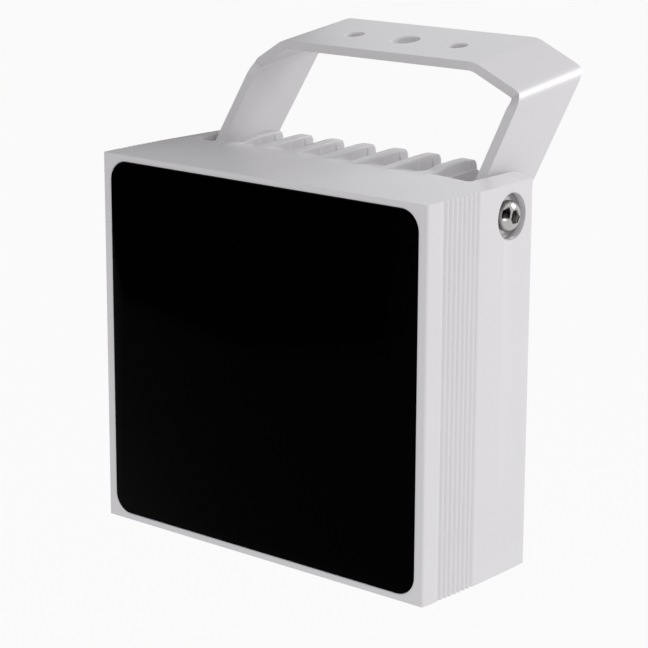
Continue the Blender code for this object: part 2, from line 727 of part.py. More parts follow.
def add_lens_plate(parent):
    """One clear moulding: a shallow tray upside down over the emitters, with a lens for each."""
    wide = LENS_PLATE_HALF_X
    tall = LENS_PLATE_HALF_Z
    middle = EMITTER_BOARD_MIDDLE
    rear = EMITTER_BOARD_FRONT - GAP
    front = rear - LENS_PLATE_DEEP
    outer = rectangle(-wide, wide, middle - tall, middle + tall, BOARD_CORNER)
    plate = add_piece("lens_plate", prism(outer, "Y", front, rear), clear_lens(), parent)
    wide -= LENS_PLATE_WALL
    tall -= LENS_PLATE_WALL
    inner = rectangle(-wide, wide, middle - tall, middle + tall)
    shape(plate, "inside", prism(inner, "Y", front + LENS_PLATE_WALL, rear + GAP))
    lens = min(EMITTER_STEP_X, EMITTER_STEP_Z) * LENS_SHARE
    for index, (x, z) in enumerate(emitter_places()):
        root = front + LENS_PLATE_WALL / 2
        profile = [(0, root), (lens, root), (lens, front)]
        for angle in (30, 60, 90):
            bend = math.radians(angle)
            reach = 0 if angle == 90 else lens * math.cos(bend)
            profile.append((reach, front - LENS_BULGE * math.sin(bend)))
        shape(plate, f"lens_{index + 1}", turned(profile, "Y", x, z, 12), "UNION")


def add_driver_board(parent):
    outline = rectangle(-BOARD_HALF, BOARD_HALF, DRIVER_LOW, DRIVER_HIGH, BOARD_CORNER)
    board = add_piece("driver_board", prism(outline, "Y", DRIVER_FRONT, DRIVER_REAR), green_board(), parent)
    _, places = small_hole_places()
    for index, (x, z) in enumerate(places):
        hole = prism(circle(x, z, SMALL_SHANK + GAP, 12), "Y", DRIVER_FRONT - GAP, DRIVER_REAR + GAP)
        shape(board, f"hole_{index + 1}", hole)


def add_driver_parts(parent):
    """What stands on the driver board: inductor, light sensor, capacitors and terminal block."""
    base = DRIVER_FRONT - GAP
    top = base - INDUCTOR_HIGH
    drum = [(0, base), (INDUCTOR_RADIUS, base), (INDUCTOR_RADIUS, base - INDUCTOR_FLANGE),
            (INDUCTOR_WAIST, base - INDUCTOR_FLANGE), (INDUCTOR_WAIST, top + INDUCTOR_FLANGE),
            (INDUCTOR_RADIUS, top + INDUCTOR_FLANGE), (INDUCTOR_RADIUS, top), (0, top)]
    coil = turned(drum, "Y", BOARD_HALF * INDUCTOR_SHARE, DRIVER_MIDDLE, 20)
    add_piece("inductor", coil, dark_moulding(), parent)
    outline = circle(BOARD_HALF * SENSOR_SHARE, DRIVER_MIDDLE, SENSOR_RADIUS, 20)
    can = prism(outline, "Y", base - SENSOR_HIGH, base)
    add_piece("light_sensor", can, can_metal(), parent)
    top = base - CAPACITOR_HIGH
    body = [(0, base), (CAPACITOR_RADIUS, base), (CAPACITOR_RADIUS, top + CAPACITOR_BEVEL),
            (CAPACITOR_RADIUS - CAPACITOR_BEVEL, top), (0, top)]
    for name, side in (("capacitor_upper", 1), ("capacitor_lower", -1)):
        mesh = turned(body, "Y", BOARD_HALF * CAPACITOR_SHARE, DRIVER_MIDDLE + side * CAPACITOR_STEP, 20)
        add_piece(name, mesh, can_metal(), parent)
    low = DRIVER_MIDDLE - BLOCK_LONG / 2
    x = BOARD_HALF * BLOCK_SHARE
    block = rectangle(x - BLOCK_WIDE / 2, x + BLOCK_WIDE / 2, low, low + BLOCK_LONG)
    mesh = prism(block, "Y", base - BLOCK_HIGH, base)
    terminal = add_piece("terminal_block", mesh, green_moulding(), parent)
    for index in range(BLOCK_WAYS):
        z = low + BLOCK_LONG * (index + 0.5) / BLOCK_WAYS
        hole = circle(x, z, BLOCK_HOLE, 12)
        front = base - BLOCK_HIGH
        shape(terminal, f"way_{index + 1}", prism(hole, "Y", front - GAP, front + BLOCK_HOLE_DEEP))


def add_small_screws(parent):
    """Four screws for each board, all alike."""
    emitter, driver = small_hole_places()
    face = EMITTER_BOARD_FRONT - GAP
    top = face - SMALL_HEAD_HIGH
    profile = [(0, face + SMALL_LENGTH), (SMALL_SHANK, face + SMALL_LENGTH), (SMALL_SHANK, face),
               (SMALL_HEAD, face), (SMALL_HEAD, face - SMALL_HEAD_HIGH / 2), (SMALL_SHANK, top), (0, top)]
    x, z = emitter[0]
    first = add_piece("emitter_board_screw_1", turned(profile, "Y", x, z, 10), stainless_steel(), parent)
    socket = prism(hexagon(x, z, SMALL_SOCKET), "Y", top - GAP, top + SMALL_SOCKET_DEEP)
    bpy.context.view_layer.update()
    cut_mesh(first, socket)
    for index, (other_x, other_z) in enumerate(emitter[1:]):
        add_copy(f"emitter_board_screw_{index + 2}", first, (other_x - x, 0, other_z - z))
    shift = DRIVER_FRONT - EMITTER_BOARD_FRONT
    for index, (other_x, other_z) in enumerate(driver):
        add_copy(f"driver_board_screw_{index + 1}", first, (other_x - x, shift, other_z - z))


def cut_mesh(target, mesh):
    """Cut the target at once, so that copies of it can share its finished mesh."""
    tool = shape(target, "cut", mesh)
    bpy.context.view_layer.update()
    seen = target.evaluated_get(bpy.context.evaluated_depsgraph_get())
    finished = bpy.data.meshes.new_from_object(seen)
    target.modifiers.clear()
    target.data = finished
    bpy.data.objects.remove(tool, do_unlink=True)


def add_gland(parent):
    """Cable gland: threaded body, lock nut inside, and a dome nut over a rubber seal."""
    z = GLAND_HEIGHT
    seat = GLAND_BOSS_REAR + GAP
    shoulder = seat + GLAND_FLANGE
    end = shoulder + GLAND_COLLAR
    tube = prism(circle(0, z, GLAND_THREAD), "Y", GLAND_INNER_END, end)
    body = add_piece("gland_body", tube, white_nylon(), parent)
    flange = prism(hexagon(0, z, GLAND_FLATS), "Y", seat, shoulder)
    shape(body, "flange", flange, "UNION")
    shape(body, "bore", prism(circle(0, z, GLAND_BORE), "Y", GLAND_INNER_END - GAP, end + GAP))
    lock_end = WELL_FLOOR - GAP
    nut = prism(hexagon(0, z, GLAND_LOCK_FLATS), "Y", lock_end - GLAND_LOCK_THICK, lock_end)
    lock = add_piece("gland_lock_nut", nut, white_nylon(), parent)
    hole = prism(circle(0, z, GLAND_THREAD + GAP), "Y", lock_end - GLAND_LOCK_THICK - GAP, lock_end + GAP)
    shape(lock, "hole", hole)
    start = shoulder + GAP
    far = start + GLAND_NUT_LONG
    inner = GLAND_THREAD + GAP
    dome = [(inner, start), (GLAND_NUT_RADIUS, start), (GLAND_NUT_RADIUS, far - GLAND_NUT_ROUND),
            (GLAND_NUT_RADIUS - GLAND_NUT_ROUND / 3, far - GLAND_NUT_ROUND / 3),
            (GLAND_NUT_RADIUS - GLAND_NUT_ROUND, far), (GLAND_BORE, far), (GLAND_BORE, far - GLAND_NUT_LIP),
            (inner, far - GLAND_NUT_LIP)]
    add_piece("gland_dome_nut", turned(dome, "Y", 0, z, 24, hollow=True), white_nylon(), parent)
    seal = washer_mesh("Y", 0, z, GLAND_SEAL_INNER, GLAND_SEAL_OUTER, end + GAP, end + GAP + GLAND_SEAL_LONG)
    add_piece("gland_seal", seal, black_rubber(), parent)


def pivot_screw_mesh(side, seat):
    """A button head screw along X, its head outwards."""
    profile = [(0, PIVOT_END), (PIVOT_SHANK, PIVOT_END), (PIVOT_SHANK, seat), (PIVOT_HEAD, seat),
               (PIVOT_HEAD, seat + PIVOT_HEAD_RIM)]
    rise = (PIVOT_HEAD_HIGH - PIVOT_HEAD_RIM) / math.sin(math.radians(60))
    for angle in (20, 40, 60):
        bend = math.radians(angle)
        profile.append((PIVOT_HEAD * math.cos(bend), seat + PIVOT_HEAD_RIM + rise * math.sin(bend)))
    profile.append((0, seat + PIVOT_HEAD_HIGH))
    return turned([(radius, side * along) for radius, along in profile], "X", PIVOT_Y, PIVOT_Z, 28)


def add_pivot(side, name, parent):
    """One pivot: screw and washer outside the cheek, friction washer and nut on the arm."""
    floor = COUNTERBORE_FLOOR + GAP
    seat = floor + WASHER_THICK + GAP
    screw = add_piece(f"pivot_screw_{name}", pivot_screw_mesh(side, seat), stainless_steel(), parent)
    top = seat + PIVOT_HEAD_HIGH
    ends = sorted((side * (top - PIVOT_SOCKET_DEEP), side * (top + GAP)))
    shape(screw, "socket", prism(hexagon(PIVOT_Y, PIVOT_Z, PIVOT_SOCKET), "X", *ends))
    ends = sorted((side * floor, side * (floor + WASHER_THICK)))
    washer = washer_mesh("X", PIVOT_Y, PIVOT_Z, PIVOT_SHANK + GAP, WASHER_RADIUS, *ends, 28)
    add_piece(f"pivot_washer_{name}", washer, stainless_steel(), parent)
    ends = sorted((side * (ARM_OUTER + GAP), side * (ARM_OUTER + GAP + FRICTION_THICK)))
    spacer = washer_mesh("X", PIVOT_Y, PIVOT_Z, PIVOT_SHANK + GAP, FRICTION_RADIUS, *ends, 16)
    add_piece(f"friction_washer_{name}", spacer, black_rubber(), parent)
    inner = ARM_OUTER - ARM_THICK - GAP
    ends = sorted((side * inner, side * (inner - NUT_THICK)))
    mesh = prism(hexagon(PIVOT_Y, PIVOT_Z, NUT_FLATS), "X", *ends)
    nut = add_piece(f"lock_nut_{name}", mesh, stainless_steel(), parent)
    ends = sorted((side * (inner + GAP), side * (inner - NUT_THICK - GAP)))
    shape(nut, "hole", prism(circle(PIVOT_Y, PIVOT_Z, PIVOT_SHANK + GAP), "X", *ends))


def bracket_profile():
    """The bracket seen square on: two arms, two slanted shoulders and a bar, as (x, height)."""
    shoulder = SHOULDER_LOW
    inner = ARM_OUTER - ARM_THICK
    under = BAR_TOP - BAR_THICK
    slope = (BAR_TOP - shoulder) / (ARM_OUTER - BAR_HALF)
    drop = (ARM_THICK + BAR_THICK) / 2 * math.sqrt(1 + slope ** 2)
    inner_shoulder = shoulder + slope * ARM_THICK - drop
    inner_half = ARM_OUTER - (under + drop - shoulder) / slope
    outer = [(ARM_OUTER, 0, 0), (ARM_OUTER, shoulder, FOLD_RADIUS), (BAR_HALF, BAR_TOP, FOLD_RADIUS)]
    inside = [(inner, 0, 0), (inner, inner_shoulder, FOLD_RADIUS / 2), (inner_half, under, FOLD_RADIUS / 2)]
    mirrored = [(-x, y, radius) for x, y, radius in reversed(outer)]
    mirrored_inside = [(-x, y, radius) for x, y, radius in inside]
    return rounded_outline(outer + mirrored + mirrored_inside + inside[::-1], 4)


def tip_arc(start, end):
    """Points round the pivot from one direction to another."""
    steps = 12
    angles = [start + (end - start) * index / steps for index in range(steps + 1)]
    centre = Vector((PIVOT_Y, PIVOT_Z))
    return [centre + TIP_RADIUS * Vector((math.cos(angle), math.sin(angle))) for angle in angles]


def bracket_side():
    """The bracket seen from the side: slanted arms, shoulders that lean forward, and round tips."""
    turn = bar_frame()
    folds = [(SHOULDER_FRONT, SHOULDER_LOW), (SHOULDER_FRONT - SHOULDER_FORWARD, BAR_TOP),
             (SHOULDER_FRONT - SHOULDER_FORWARD, BAR_TOP + OVERRUN),
             (SHOULDER_REAR - SHOULDER_FORWARD, BAR_TOP + OVERRUN),
             (SHOULDER_REAR - SHOULDER_FORWARD, BAR_TOP), (SHOULDER_REAR, SHOULDER_LOW)]
    upper = [(turn @ Vector((0, along, level))).yz for along, level in folds]
    taper = (REAR_EDGE + (TAPER_HEIGHT - HEIGHT) * math.tan(REAR_LEAN), TAPER_HEIGHT)
    reach = math.hypot(taper[0] - PIVOT_Y, taper[1] - PIVOT_Z)
    bearing = math.atan2(taper[1] - PIVOT_Z, taper[0] - PIVOT_Y)
    rear_tangent = bearing - math.acos(TIP_RADIUS / reach)
    normal = Vector((-math.cos(FRONT_LEAN), math.sin(FRONT_LEAN)))
    offset = normal.dot(Vector((FRONT_EDGE - PIVOT_Y, HEIGHT - PIVOT_Z)))
    front_meet = math.atan2(normal.y, normal.x) - math.acos(offset / TIP_RADIUS)
    arc = tip_arc(rear_tangent, front_meet - 2 * math.pi)
    return [Vector(point) for point in upper + [taper] + arc]


def add_bracket(parent):
    """One folded piece: the square-on profile swept along the bar, cut to its slanted side view."""
    profile = prism(bracket_profile(), "Y", 0, BAR_MIDDLE * 2)
    bmesh.ops.transform(profile, matrix=bar_frame(), verts=profile.verts)
    bracket = add_piece("bracket", profile, white_paint(), parent)
    reach = ARM_OUTER + OVERRUN
    shape(bracket, "side", prism(bracket_side(), "X", -reach, reach), "INTERSECT")
    holes = (("left", -HOLE_STEP, SIDE_HOLE), ("middle", 0, CENTRE_HOLE), ("right", HOLE_STEP, SIDE_HOLE))
    for name, x, radius in holes:
        outline = circle(x, BAR_MIDDLE - HOLE_FORWARD, radius)
        hole = prism(outline, "Z", BAR_TOP - BAR_THICK - GAP, BAR_TOP + GAP)
        bmesh.ops.transform(hole, matrix=bar_frame(), verts=hole.verts)
        shape(bracket, f"hole_{name}", hole)
    bore = circle(PIVOT_Y, PIVOT_Z, PIVOT_SHANK + GAP)
    shape(bracket, "pivot_bore", prism(bore, "X", -reach, reach))


def main():
    clear_scene()
    mount = mount_point()
    bracket_base = add_axis("bracket_base", mount, (0, 0, 0))
    tilt_axis = add_axis("tilt_axis", PIVOT, PIVOT - mount)
    add_bracket(bracket_base)
    add_housing(tilt_axis)
    add_window(tilt_axis)
    add_emitter_board(tilt_axis)
    add_emitters(tilt_axis)
    add_lens_plate(tilt_axis)
    add_driver_board(tilt_axis)
    add_driver_parts(tilt_axis)
    add_small_screws(tilt_axis)
    add_gland(tilt_axis)
    for side, name in ((1, "right"), (-1, "left")):
        add_pivot(side, name, tilt_axis)


main()
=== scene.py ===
import json
import math

import bmesh
import bpy
from mathutils import Matrix, Vector


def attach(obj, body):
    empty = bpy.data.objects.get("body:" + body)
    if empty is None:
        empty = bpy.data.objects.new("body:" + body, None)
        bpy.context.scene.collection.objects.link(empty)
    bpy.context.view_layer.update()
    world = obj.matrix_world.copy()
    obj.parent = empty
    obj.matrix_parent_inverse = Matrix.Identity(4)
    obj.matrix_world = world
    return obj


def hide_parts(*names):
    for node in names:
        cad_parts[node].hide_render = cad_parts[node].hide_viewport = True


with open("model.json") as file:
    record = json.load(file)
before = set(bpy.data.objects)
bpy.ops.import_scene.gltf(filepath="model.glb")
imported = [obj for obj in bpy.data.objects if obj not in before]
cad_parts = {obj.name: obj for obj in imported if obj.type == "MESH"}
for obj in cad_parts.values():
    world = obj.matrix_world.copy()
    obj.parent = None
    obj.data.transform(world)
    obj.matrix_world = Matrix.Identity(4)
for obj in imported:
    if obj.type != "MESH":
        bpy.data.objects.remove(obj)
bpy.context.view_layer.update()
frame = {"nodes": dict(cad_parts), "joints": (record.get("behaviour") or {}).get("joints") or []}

# Camera, at the photograph's viewing angle
# Places are measured from the middle of the front face's lower edge, which the tilt axis gives.
pivot_y = 0.046
pivot_z = 0.1244
pivot = Vector(frame["joints"][0]["pos_m"])
base = pivot - Vector((0, pivot_y, pivot_z))
camera_place = base + Vector((0.5216, -0.5723, 0.2787))
yaw = math.radians(40.65)
pitch = math.radians(14.1)
roll = math.radians(0.24)
focal_pixels = 2342.3
photo_pixels = 648
forward = Vector((-math.sin(yaw) * math.cos(pitch), math.cos(yaw) * math.cos(pitch), -math.sin(pitch)))
right = Vector((math.cos(yaw), math.sin(yaw), 0))
up = right.cross(forward)
rolled_right = right * math.cos(roll) + up * math.sin(roll)
rolled_up = up * math.cos(roll) - right * math.sin(roll)
camera_data = bpy.data.cameras.new("camera")
camera_data.sensor_width = 36
camera_data.lens = focal_pixels / photo_pixels * camera_data.sensor_width
camera_data.clip_start = 0.01
camera_data.clip_end = 100
camera = bpy.data.objects.new("camera", camera_data)
turn = Matrix((rolled_right, rolled_up, -forward)).transposed().to_4x4()
camera.matrix_world = Matrix.Translation(camera_place) @ turn
bpy.context.scene.collection.objects.link(camera)
bpy.context.scene.camera = camera


# World and lamps, as a plain studio
# The camera, mirrors and glass see plain white. Every other ray gets an even grey light.
lit_middle = base + Vector((0, 0.03, 0.10))


def colour(text):
    """Linear colour from an sRGB hex text such as #DCDDDE."""
    parts = [int(text[index:index + 2], 16) / 255 for index in (1, 3, 5)]
    return [part / 12.92 if part <= 0.04045 else ((part + 0.055) / 1.055) ** 2.4 for part in parts] + [1]


def add_node(tree, kind, settings=None, values=None, links=()):
    """Add a shader node with its settings and socket values. Each link gives a socket and its source."""
    node = tree.nodes.new(kind)
    for name, value in (settings or {}).items():
        setattr(node, name, value)
    for name, value in (values or {}).items():
        node.inputs[name].default_value = value
    for name, source in links:
        tree.links.new(source, node.inputs[name])
    return node


def shown_directly(tree):
    """One for the rays by which the camera sees a thing, straight on, mirrored or through glass."""
    path = add_node(tree, "ShaderNodeLightPath")
    mirrored = add_node(tree, "ShaderNodeMath", {"operation": "MAXIMUM"},
                        links=[(0, path.outputs["Is Camera Ray"]), (1, path.outputs["Is Glossy Ray"])])
    return add_node(tree, "ShaderNodeMath", {"operation": "MAXIMUM"},
                    links=[(0, mirrored.outputs[0]), (1, path.outputs["Is Transmission Ray"])]).outputs[0]


world = bpy.data.worlds.new("studio")
bpy.context.scene.world = world
world.use_nodes = True
tree = world.node_tree
tree.nodes.clear()
white = add_node(tree, "ShaderNodeBackground", values={"Color": colour("#FDFDFD"), "Strength": 1.0})
grey = add_node(tree, "ShaderNodeBackground", values={"Color": colour("#FFFFFF"), "Strength": 0.65})
mix = add_node(tree, "ShaderNodeMixShader",
               links=[(0, shown_directly(tree)), (1, grey.outputs[0]), (2, white.outputs[0])])
add_node(tree, "ShaderNodeOutputWorld", links=[("Surface", mix.outputs[0])])
for name, place, size, power in (
    ("softbox_front_right", (0.72, -0.42, 0.03), 0.50, 1.35),
    ("softbox_rear_right", (0.45, 0.61, 0.52), 0.26, 2.3),
):
    lamp_data = bpy.data.lights.new(name, "AREA")
    lamp_data.size = size
    lamp_data.energy = power
    lamp = bpy.data.objects.new(name, lamp_data)
    lamp.location = base + Vector(place)
    lamp.rotation_euler = (lit_middle - lamp.location).to_track_quat("-Z", "Y").to_euler()
    bpy.context.scene.collection.objects.link(lamp)

# Two curved black flags, stood up on both sides as photographers do, so that bright metal has something
# dark to mirror. They are seen only in mirrors, so they take no light from the painted parts.
flag_radius = 0.6
flag_low = -0.12
flag_high = 0.60
black_cloth = bpy.data.materials.new("black_velvet")
black_cloth.use_nodes = True
tree = black_cloth.node_tree
tree.nodes.clear()
velvet = add_node(tree, "ShaderNodeBsdfDiffuse", values={"Color": colour("#050505")})
add_node(tree, "ShaderNodeOutputMaterial", links=[("Surface", velvet.outputs[0])])
for sign, name, behind, sweep in ((1, "black_flag_right", 14, 92), (-1, "black_flag_left", 46, 124)):
    flag_mesh = bmesh.new()
    start = math.radians(behind)
    foot = pivot + flag_radius * Vector((sign * math.cos(start), math.sin(start), 0))
    ends = [flag_mesh.verts.new(foot + Vector((0, 0, level))) for level in (flag_low, flag_high)]
    edge = flag_mesh.edges.new(ends)
    bmesh.ops.spin(flag_mesh, geom=ends + [edge], cent=pivot, axis=(0, 0, 1),
                   angle=-sign * math.radians(sweep), steps=24)
    flag_data = bpy.data.meshes.new(name)
    flag_mesh.to_mesh(flag_data)
    flag_mesh.free()
    flag_data.materials.append(black_cloth)
    flag = bpy.data.objects.new(name, flag_data)
    bpy.context.scene.collection.objects.link(flag)
    flag.visible_camera = False
    flag.visible_diffuse = False
    flag.visible_shadow = False
    flag.visible_transmission = False

# Floor, plain and pale, well below the hanging illuminator
# It shows as white paper does, and still takes the illuminator's shadow.
floor_drop = 0.25
floor_half = 20
floor_mesh = bmesh.new()
bmesh.ops.create_grid(floor_mesh, x_segments=1, y_segments=1, size=floor_half)
bmesh.ops.translate(floor_mesh, verts=floor_mesh.verts, vec=(0, 0, base.z - floor_drop))
floor_data = bpy.data.meshes.new("floor")
floor_mesh.to_mesh(floor_data)
floor_mesh.free()
floor = bpy.data.objects.new("floor", floor_data)
bpy.context.scene.collection.objects.link(floor)
floor_paper = bpy.data.materials.new("white_paper")
floor_paper.use_nodes = True
tree = floor_paper.node_tree
tree.nodes.clear()
paper = add_node(tree, "ShaderNodeBsdfDiffuse", values={"Color": colour("#F2F2F2")})
bright = add_node(tree, "ShaderNodeEmission", values={"Color": colour("#FDFDFD"), "Strength": 1.0})
share = add_node(tree, "ShaderNodeMath", {"operation": "MULTIPLY"}, {1: 0.93}, [(0, shown_directly(tree))])
mix = add_node(tree, "ShaderNodeMixShader",
               links=[(0, share.outputs[0]), (1, paper.outputs[0]), (2, bright.outputs[0])])
add_node(tree, "ShaderNodeOutputMaterial", links=[("Surface", mix.outputs[0])])
floor_data.materials.append(floor_paper)


# Housing: one die casting of aluminium, with heat fins behind and the cap rolled down between them
# It is painted with satin light grey-white powder paint, baked on, so its edges look slightly soft.
# Its sides have eight shallow grooves, and two slots at the rear leave cheeks outside the bracket's arms.
height = 0.135
width = 0.1468
depth = 0.060
side_swell = 0.0003
side_draw = 0.0013
rim = 0.0005
rim_support = 0.0005
arch_rise = 0.0030
arch_length = 0.055
edge_rise = 0.0005
edge_length = 0.040
bottom_arch_share = 0.41
cheek_inner = 0.0637
cheek_rear = 0.0588
slot_inner = 0.0462
slot_front = 0.034
channel_floor = 0.046
stem = 0.0024
head = 0.0033
head_start = 0.0554
head_end = 0.0560
fin_rise = 0.0010
fin_rise_length = 0.018
fin_corner_length = 0.0017
fin_corner_drop = 0.0011
ledge_outer = 0.0486
ledge_margin = 0.001
cove_inner = 0.0404
cove_front = 0.0345
cove_rear = 0.0449
cove_drop = 0.0032
dip_depth = 0.0007
dip_side = 0.0015
scoop_front = 0.0265
roll_start = 0.0275
roll_bend = 0.0442
roll_drop = 0.0030
roll_curl = 0.0065
wall_softness = 0.00010
wall_slope = 9.5
foot_blend = 0.0013
fin_places = [(3 - index) * (2 * slot_inner - 2 * stem) / 6 for index in range(7)]


def ramp(value, start, length):
    """A share that grows evenly from 0 at the start to 1 at the length's end."""
    return max(0.0, min(1.0, (value - start) / length))


def half_width(y):
    """Half the housing's width: a little swell near the front, drawn in at the rear."""
    swell = side_swell * math.sin(math.pi * ramp(y, 0, 0.6 * depth)) ** 2
    return width / 2 + swell - side_draw * ramp(y, depth / 2, depth / 2) ** 1.5


def crown(x, y):
    """Rise of the arched cap: flat across the front edge, higher behind it, and highest along the fins.

    In front of the outer fins it dips a little, and the fins' rear corners are rounded off.
    """
    centre = arch_rise * (1 - (1 - ramp(y, 0, arch_length)) ** 2)
    edge = edge_rise * (1 - (1 - ramp(y, 0, edge_length)) ** 2)
    fins = 0.0
    if abs(x) < ledge_outer + ledge_margin:
        dip = ramp(abs(x), cove_inner, dip_side)
        corner = ramp(y, depth - fin_corner_length, fin_corner_length)
        fins = fin_rise * ramp(y, slot_front, fin_rise_length) ** 1.5
        fins -= dip_depth * dip * math.sin(math.pi * ramp(y, cove_front, cove_rear - cove_front)) ** 2
        fins -= fin_corner_drop * (1 - math.sqrt(1 - corner ** 2))
    return centre - (centre - edge) * min(1.0, abs(x) * 2 / width) ** 5 + fins


def eased(into, floor_drop):
    """Depth down a steep wall that starts with a round edge and runs into its floor by a soft foot."""
    edge = math.log1p(math.exp(max(-50.0, min(50.0, into / wall_softness))))
    wall = wall_slope * wall_softness * edge
    blend = min(foot_blend, floor_drop * 0.8) + 1e-9
    return min(wall, floor_drop) - max(0.0, blend - abs(wall - floor_drop)) ** 2 / (4 * blend)


def scoop(x, y):
    """How far the cap is rolled down between the fins, and beside the outer ones."""
    reach = abs(x)
    if y < scoop_front or reach > ledge_outer + ledge_margin:
        return 0.0
    rolled = roll_drop * ramp(y, roll_start, roll_bend - roll_start) ** 2
    curl = ramp(y, roll_bend, channel_floor - roll_bend)
    rolled += roll_curl * (1 - math.sqrt(1 - curl ** 2))
    between = min(abs(reach - abs(place)) for place in fin_places) - stem if reach < slot_inner else -1.0
    tee = slot_inner + (head - stem) * ramp(y, head_start, head_end - head_start)
    beside = min(reach - tee, y - cove_front)
    return max(eased(between, rolled), eased(beside, cove_drop))


def rounded_outline(corners):
    """Points of a closed outline whose corners (x, y, radius, steps) are rounded by arcs."""
    points = []
    for index, (x, y, radius, steps) in enumerate(corners):
        corner = Vector((x, y))
        if radius == 0:
            points.append(corner)
            continue
        before = (Vector(corners[index - 1][:2]) - corner).normalized()
        after = (Vector(corners[(index + 1) % len(corners)][:2]) - corner).normalized()
        half = before.angle(after) / 2
        centre = corner + (before + after).normalized() * (radius / math.sin(half))
        first = corner + before * (radius / math.tan(half)) - centre
        last = corner + after * (radius / math.tan(half)) - centre
        start = math.atan2(first.y, first.x)
        sweep = (math.atan2(last.y, last.x) - start + math.pi) % (2 * math.pi) - math.pi
        for step in range(steps + 1):
            angle = start + sweep * step / steps
            points.append(centre + radius * Vector((math.cos(angle), math.sin(angle))))
    return points


def rectangle(half, low, high, radius, steps=12):
    """A rectangle with round corners, as wide on both sides of the middle."""
    return rounded_outline([(-half, low, radius, steps), (half, low, radius, steps),
                            (half, high, radius, steps), (-half, high, radius, steps)])


def circle(x, y, radius, steps=48):
    turns = [2 * math.pi * step / steps for step in range(steps)]
    return [Vector((x + radius * math.cos(turn), y + radius * math.sin(turn))) for turn in turns]


def stack(mesh, levels, axis):
    """Add a closed body to the mesh: a first outline, square to the axis, extruded to each of the others.

    A level is an outline and its place along the axis. All the outlines have as many points.
    """
    order = {"X": (2, 0, 1), "Y": (0, 2, 1), "Z": (0, 1, 2)}[axis]
    rings = [[[(a, b, level)[item] for item in order] for a, b in outline] for outline, level in levels]
    first = [mesh.verts.new(point) for point in rings[0]]
    end = mesh.faces.new(first)
    for ring in rings[1:]:
        end = bmesh.ops.extrude_discrete_faces(mesh, faces=[end])["faces"][0]
        for vert, point in zip(end.verts, ring):
            vert.co = point
    mesh.faces.new(first)
    bmesh.ops.recalc_face_normals(mesh, faces=mesh.faces)


def make_object(name, mesh, material):
    """An object of the mesh, moved from the front face's lower edge to the row's frame."""
    bmesh.ops.translate(mesh, verts=mesh.verts, vec=base)
    data = bpy.data.meshes.new(name)
    mesh.to_mesh(data)
    mesh.free()
    data.shade_smooth()
    data.set_sharp_from_angle(angle=math.radians(40))
    data.materials.append(material)
    piece = bpy.data.objects.new(name, data)
    bpy.context.scene.collection.objects.link(piece)
    return piece


def shaped(mesh, cuts):
    """The mesh after each cut or join, given as pairs of Boolean operation and tool mesh."""
    block = bpy.data.meshes.new("block")
    mesh.to_mesh(block)
    mesh.free()
    holder = bpy.data.objects.new("block", block)
    bpy.context.scene.collection.objects.link(holder)
    tools = []
    for operation, tool_mesh in cuts:
        data = bpy.data.meshes.new("tool")
        tool_mesh.to_mesh(data)
        tool_mesh.free()
        tool = bpy.data.objects.new("tool", data)
        bpy.context.scene.collection.objects.link(tool)
        tools.append(tool)
        change = holder.modifiers.new("cut", "BOOLEAN")
        change.operation = operation
        change.solver = "EXACT"
        change.object = tool
    bpy.context.view_layer.update()
    seen = holder.evaluated_get(bpy.context.evaluated_depsgraph_get())
    result = bmesh.new()
    result.from_mesh(seen.to_mesh())
    for item in tools + [holder]:
        bpy.data.objects.remove(item, do_unlink=True)
    return result


def everything(mesh):
    return mesh.verts[:] + mesh.edges[:] + mesh.faces[:]


def round_rim(mesh, face, top, radius):
    """Give a flat face a round rim by three insets that rise to the top, then a narrow flat border."""
    before = 0.0
    for angle in (30, 60, 90):
        bend = math.radians(angle)
        inward = radius * (1 - math.cos(bend))
        bmesh.ops.inset_region(mesh, faces=[face], thickness=inward - before, use_even_offset=True)
        for vert in face.verts:
            vert.co.z = top - radius * (1 - math.sin(bend))
        before = inward
    bmesh.ops.inset_region(mesh, faces=[face], thickness=rim_support, use_even_offset=True)


# The housing's plan: right side with its grooves, cheek and slot, then the fins, then the left side.
groove_first = 0.0089
groove_pitch = 0.00246
groove_half = 0.00100
groove_depth = 0.00095
plain_front = 0.0290
plain_rear = 0.0552
front_corner = 0.0006
cheek_outer_corner = 0.0016
cheek_inner_corner = 0.0008
slot_corner = 0.0020
channel_corner = 0.0025
neck_corner = 0.0002
head_corner = 0.0003
fin_corner = 0.0010
side = [(width / 2, 0, front_corner, 6)]
for index in range(8):
    middle = groove_first + index * groove_pitch
    for step in range(-5, 6):
        y = middle + step / 5 * groove_half
        side.append((half_width(y) - groove_depth * (0.5 + 0.5 * math.cos(math.pi * step / 5)), y, 0, 0))
for index in range(9):
    y = plain_front + (plain_rear - plain_front) * index / 8
    side.append((half_width(y), y, 0, 0))
side.append((half_width(cheek_rear), cheek_rear, cheek_outer_corner, 8))
side.append((cheek_inner, cheek_rear, cheek_inner_corner, 5))
side.append((cheek_inner, slot_front, slot_corner, 8))
corners = list(side)
for index, x in enumerate(fin_places):
    if index == 0:
        corners += [(ledge_outer, slot_front, slot_corner, 8), (ledge_outer, depth, fin_corner, 6)]
    else:
        corners += [(x + stem, channel_floor, channel_corner, 8), (x + stem, head_start, neck_corner, 2),
                    (x + head, head_end, head_corner, 3), (x + head, depth, fin_corner, 6)]
    if index == len(fin_places) - 1:
        corners += [(-ledge_outer, depth, fin_corner, 6), (-ledge_outer, slot_front, slot_corner, 8)]
    else:
        corners += [(x - head, depth, fin_corner, 6), (x - head, head_end, head_corner, 3),
                    (x - stem, head_start, neck_corner, 2), (x - stem, channel_floor, channel_corner, 8)]
corners += [(-x, y, radius, steps) for x, y, radius, steps in reversed(side)]
plan = rounded_outline(corners)

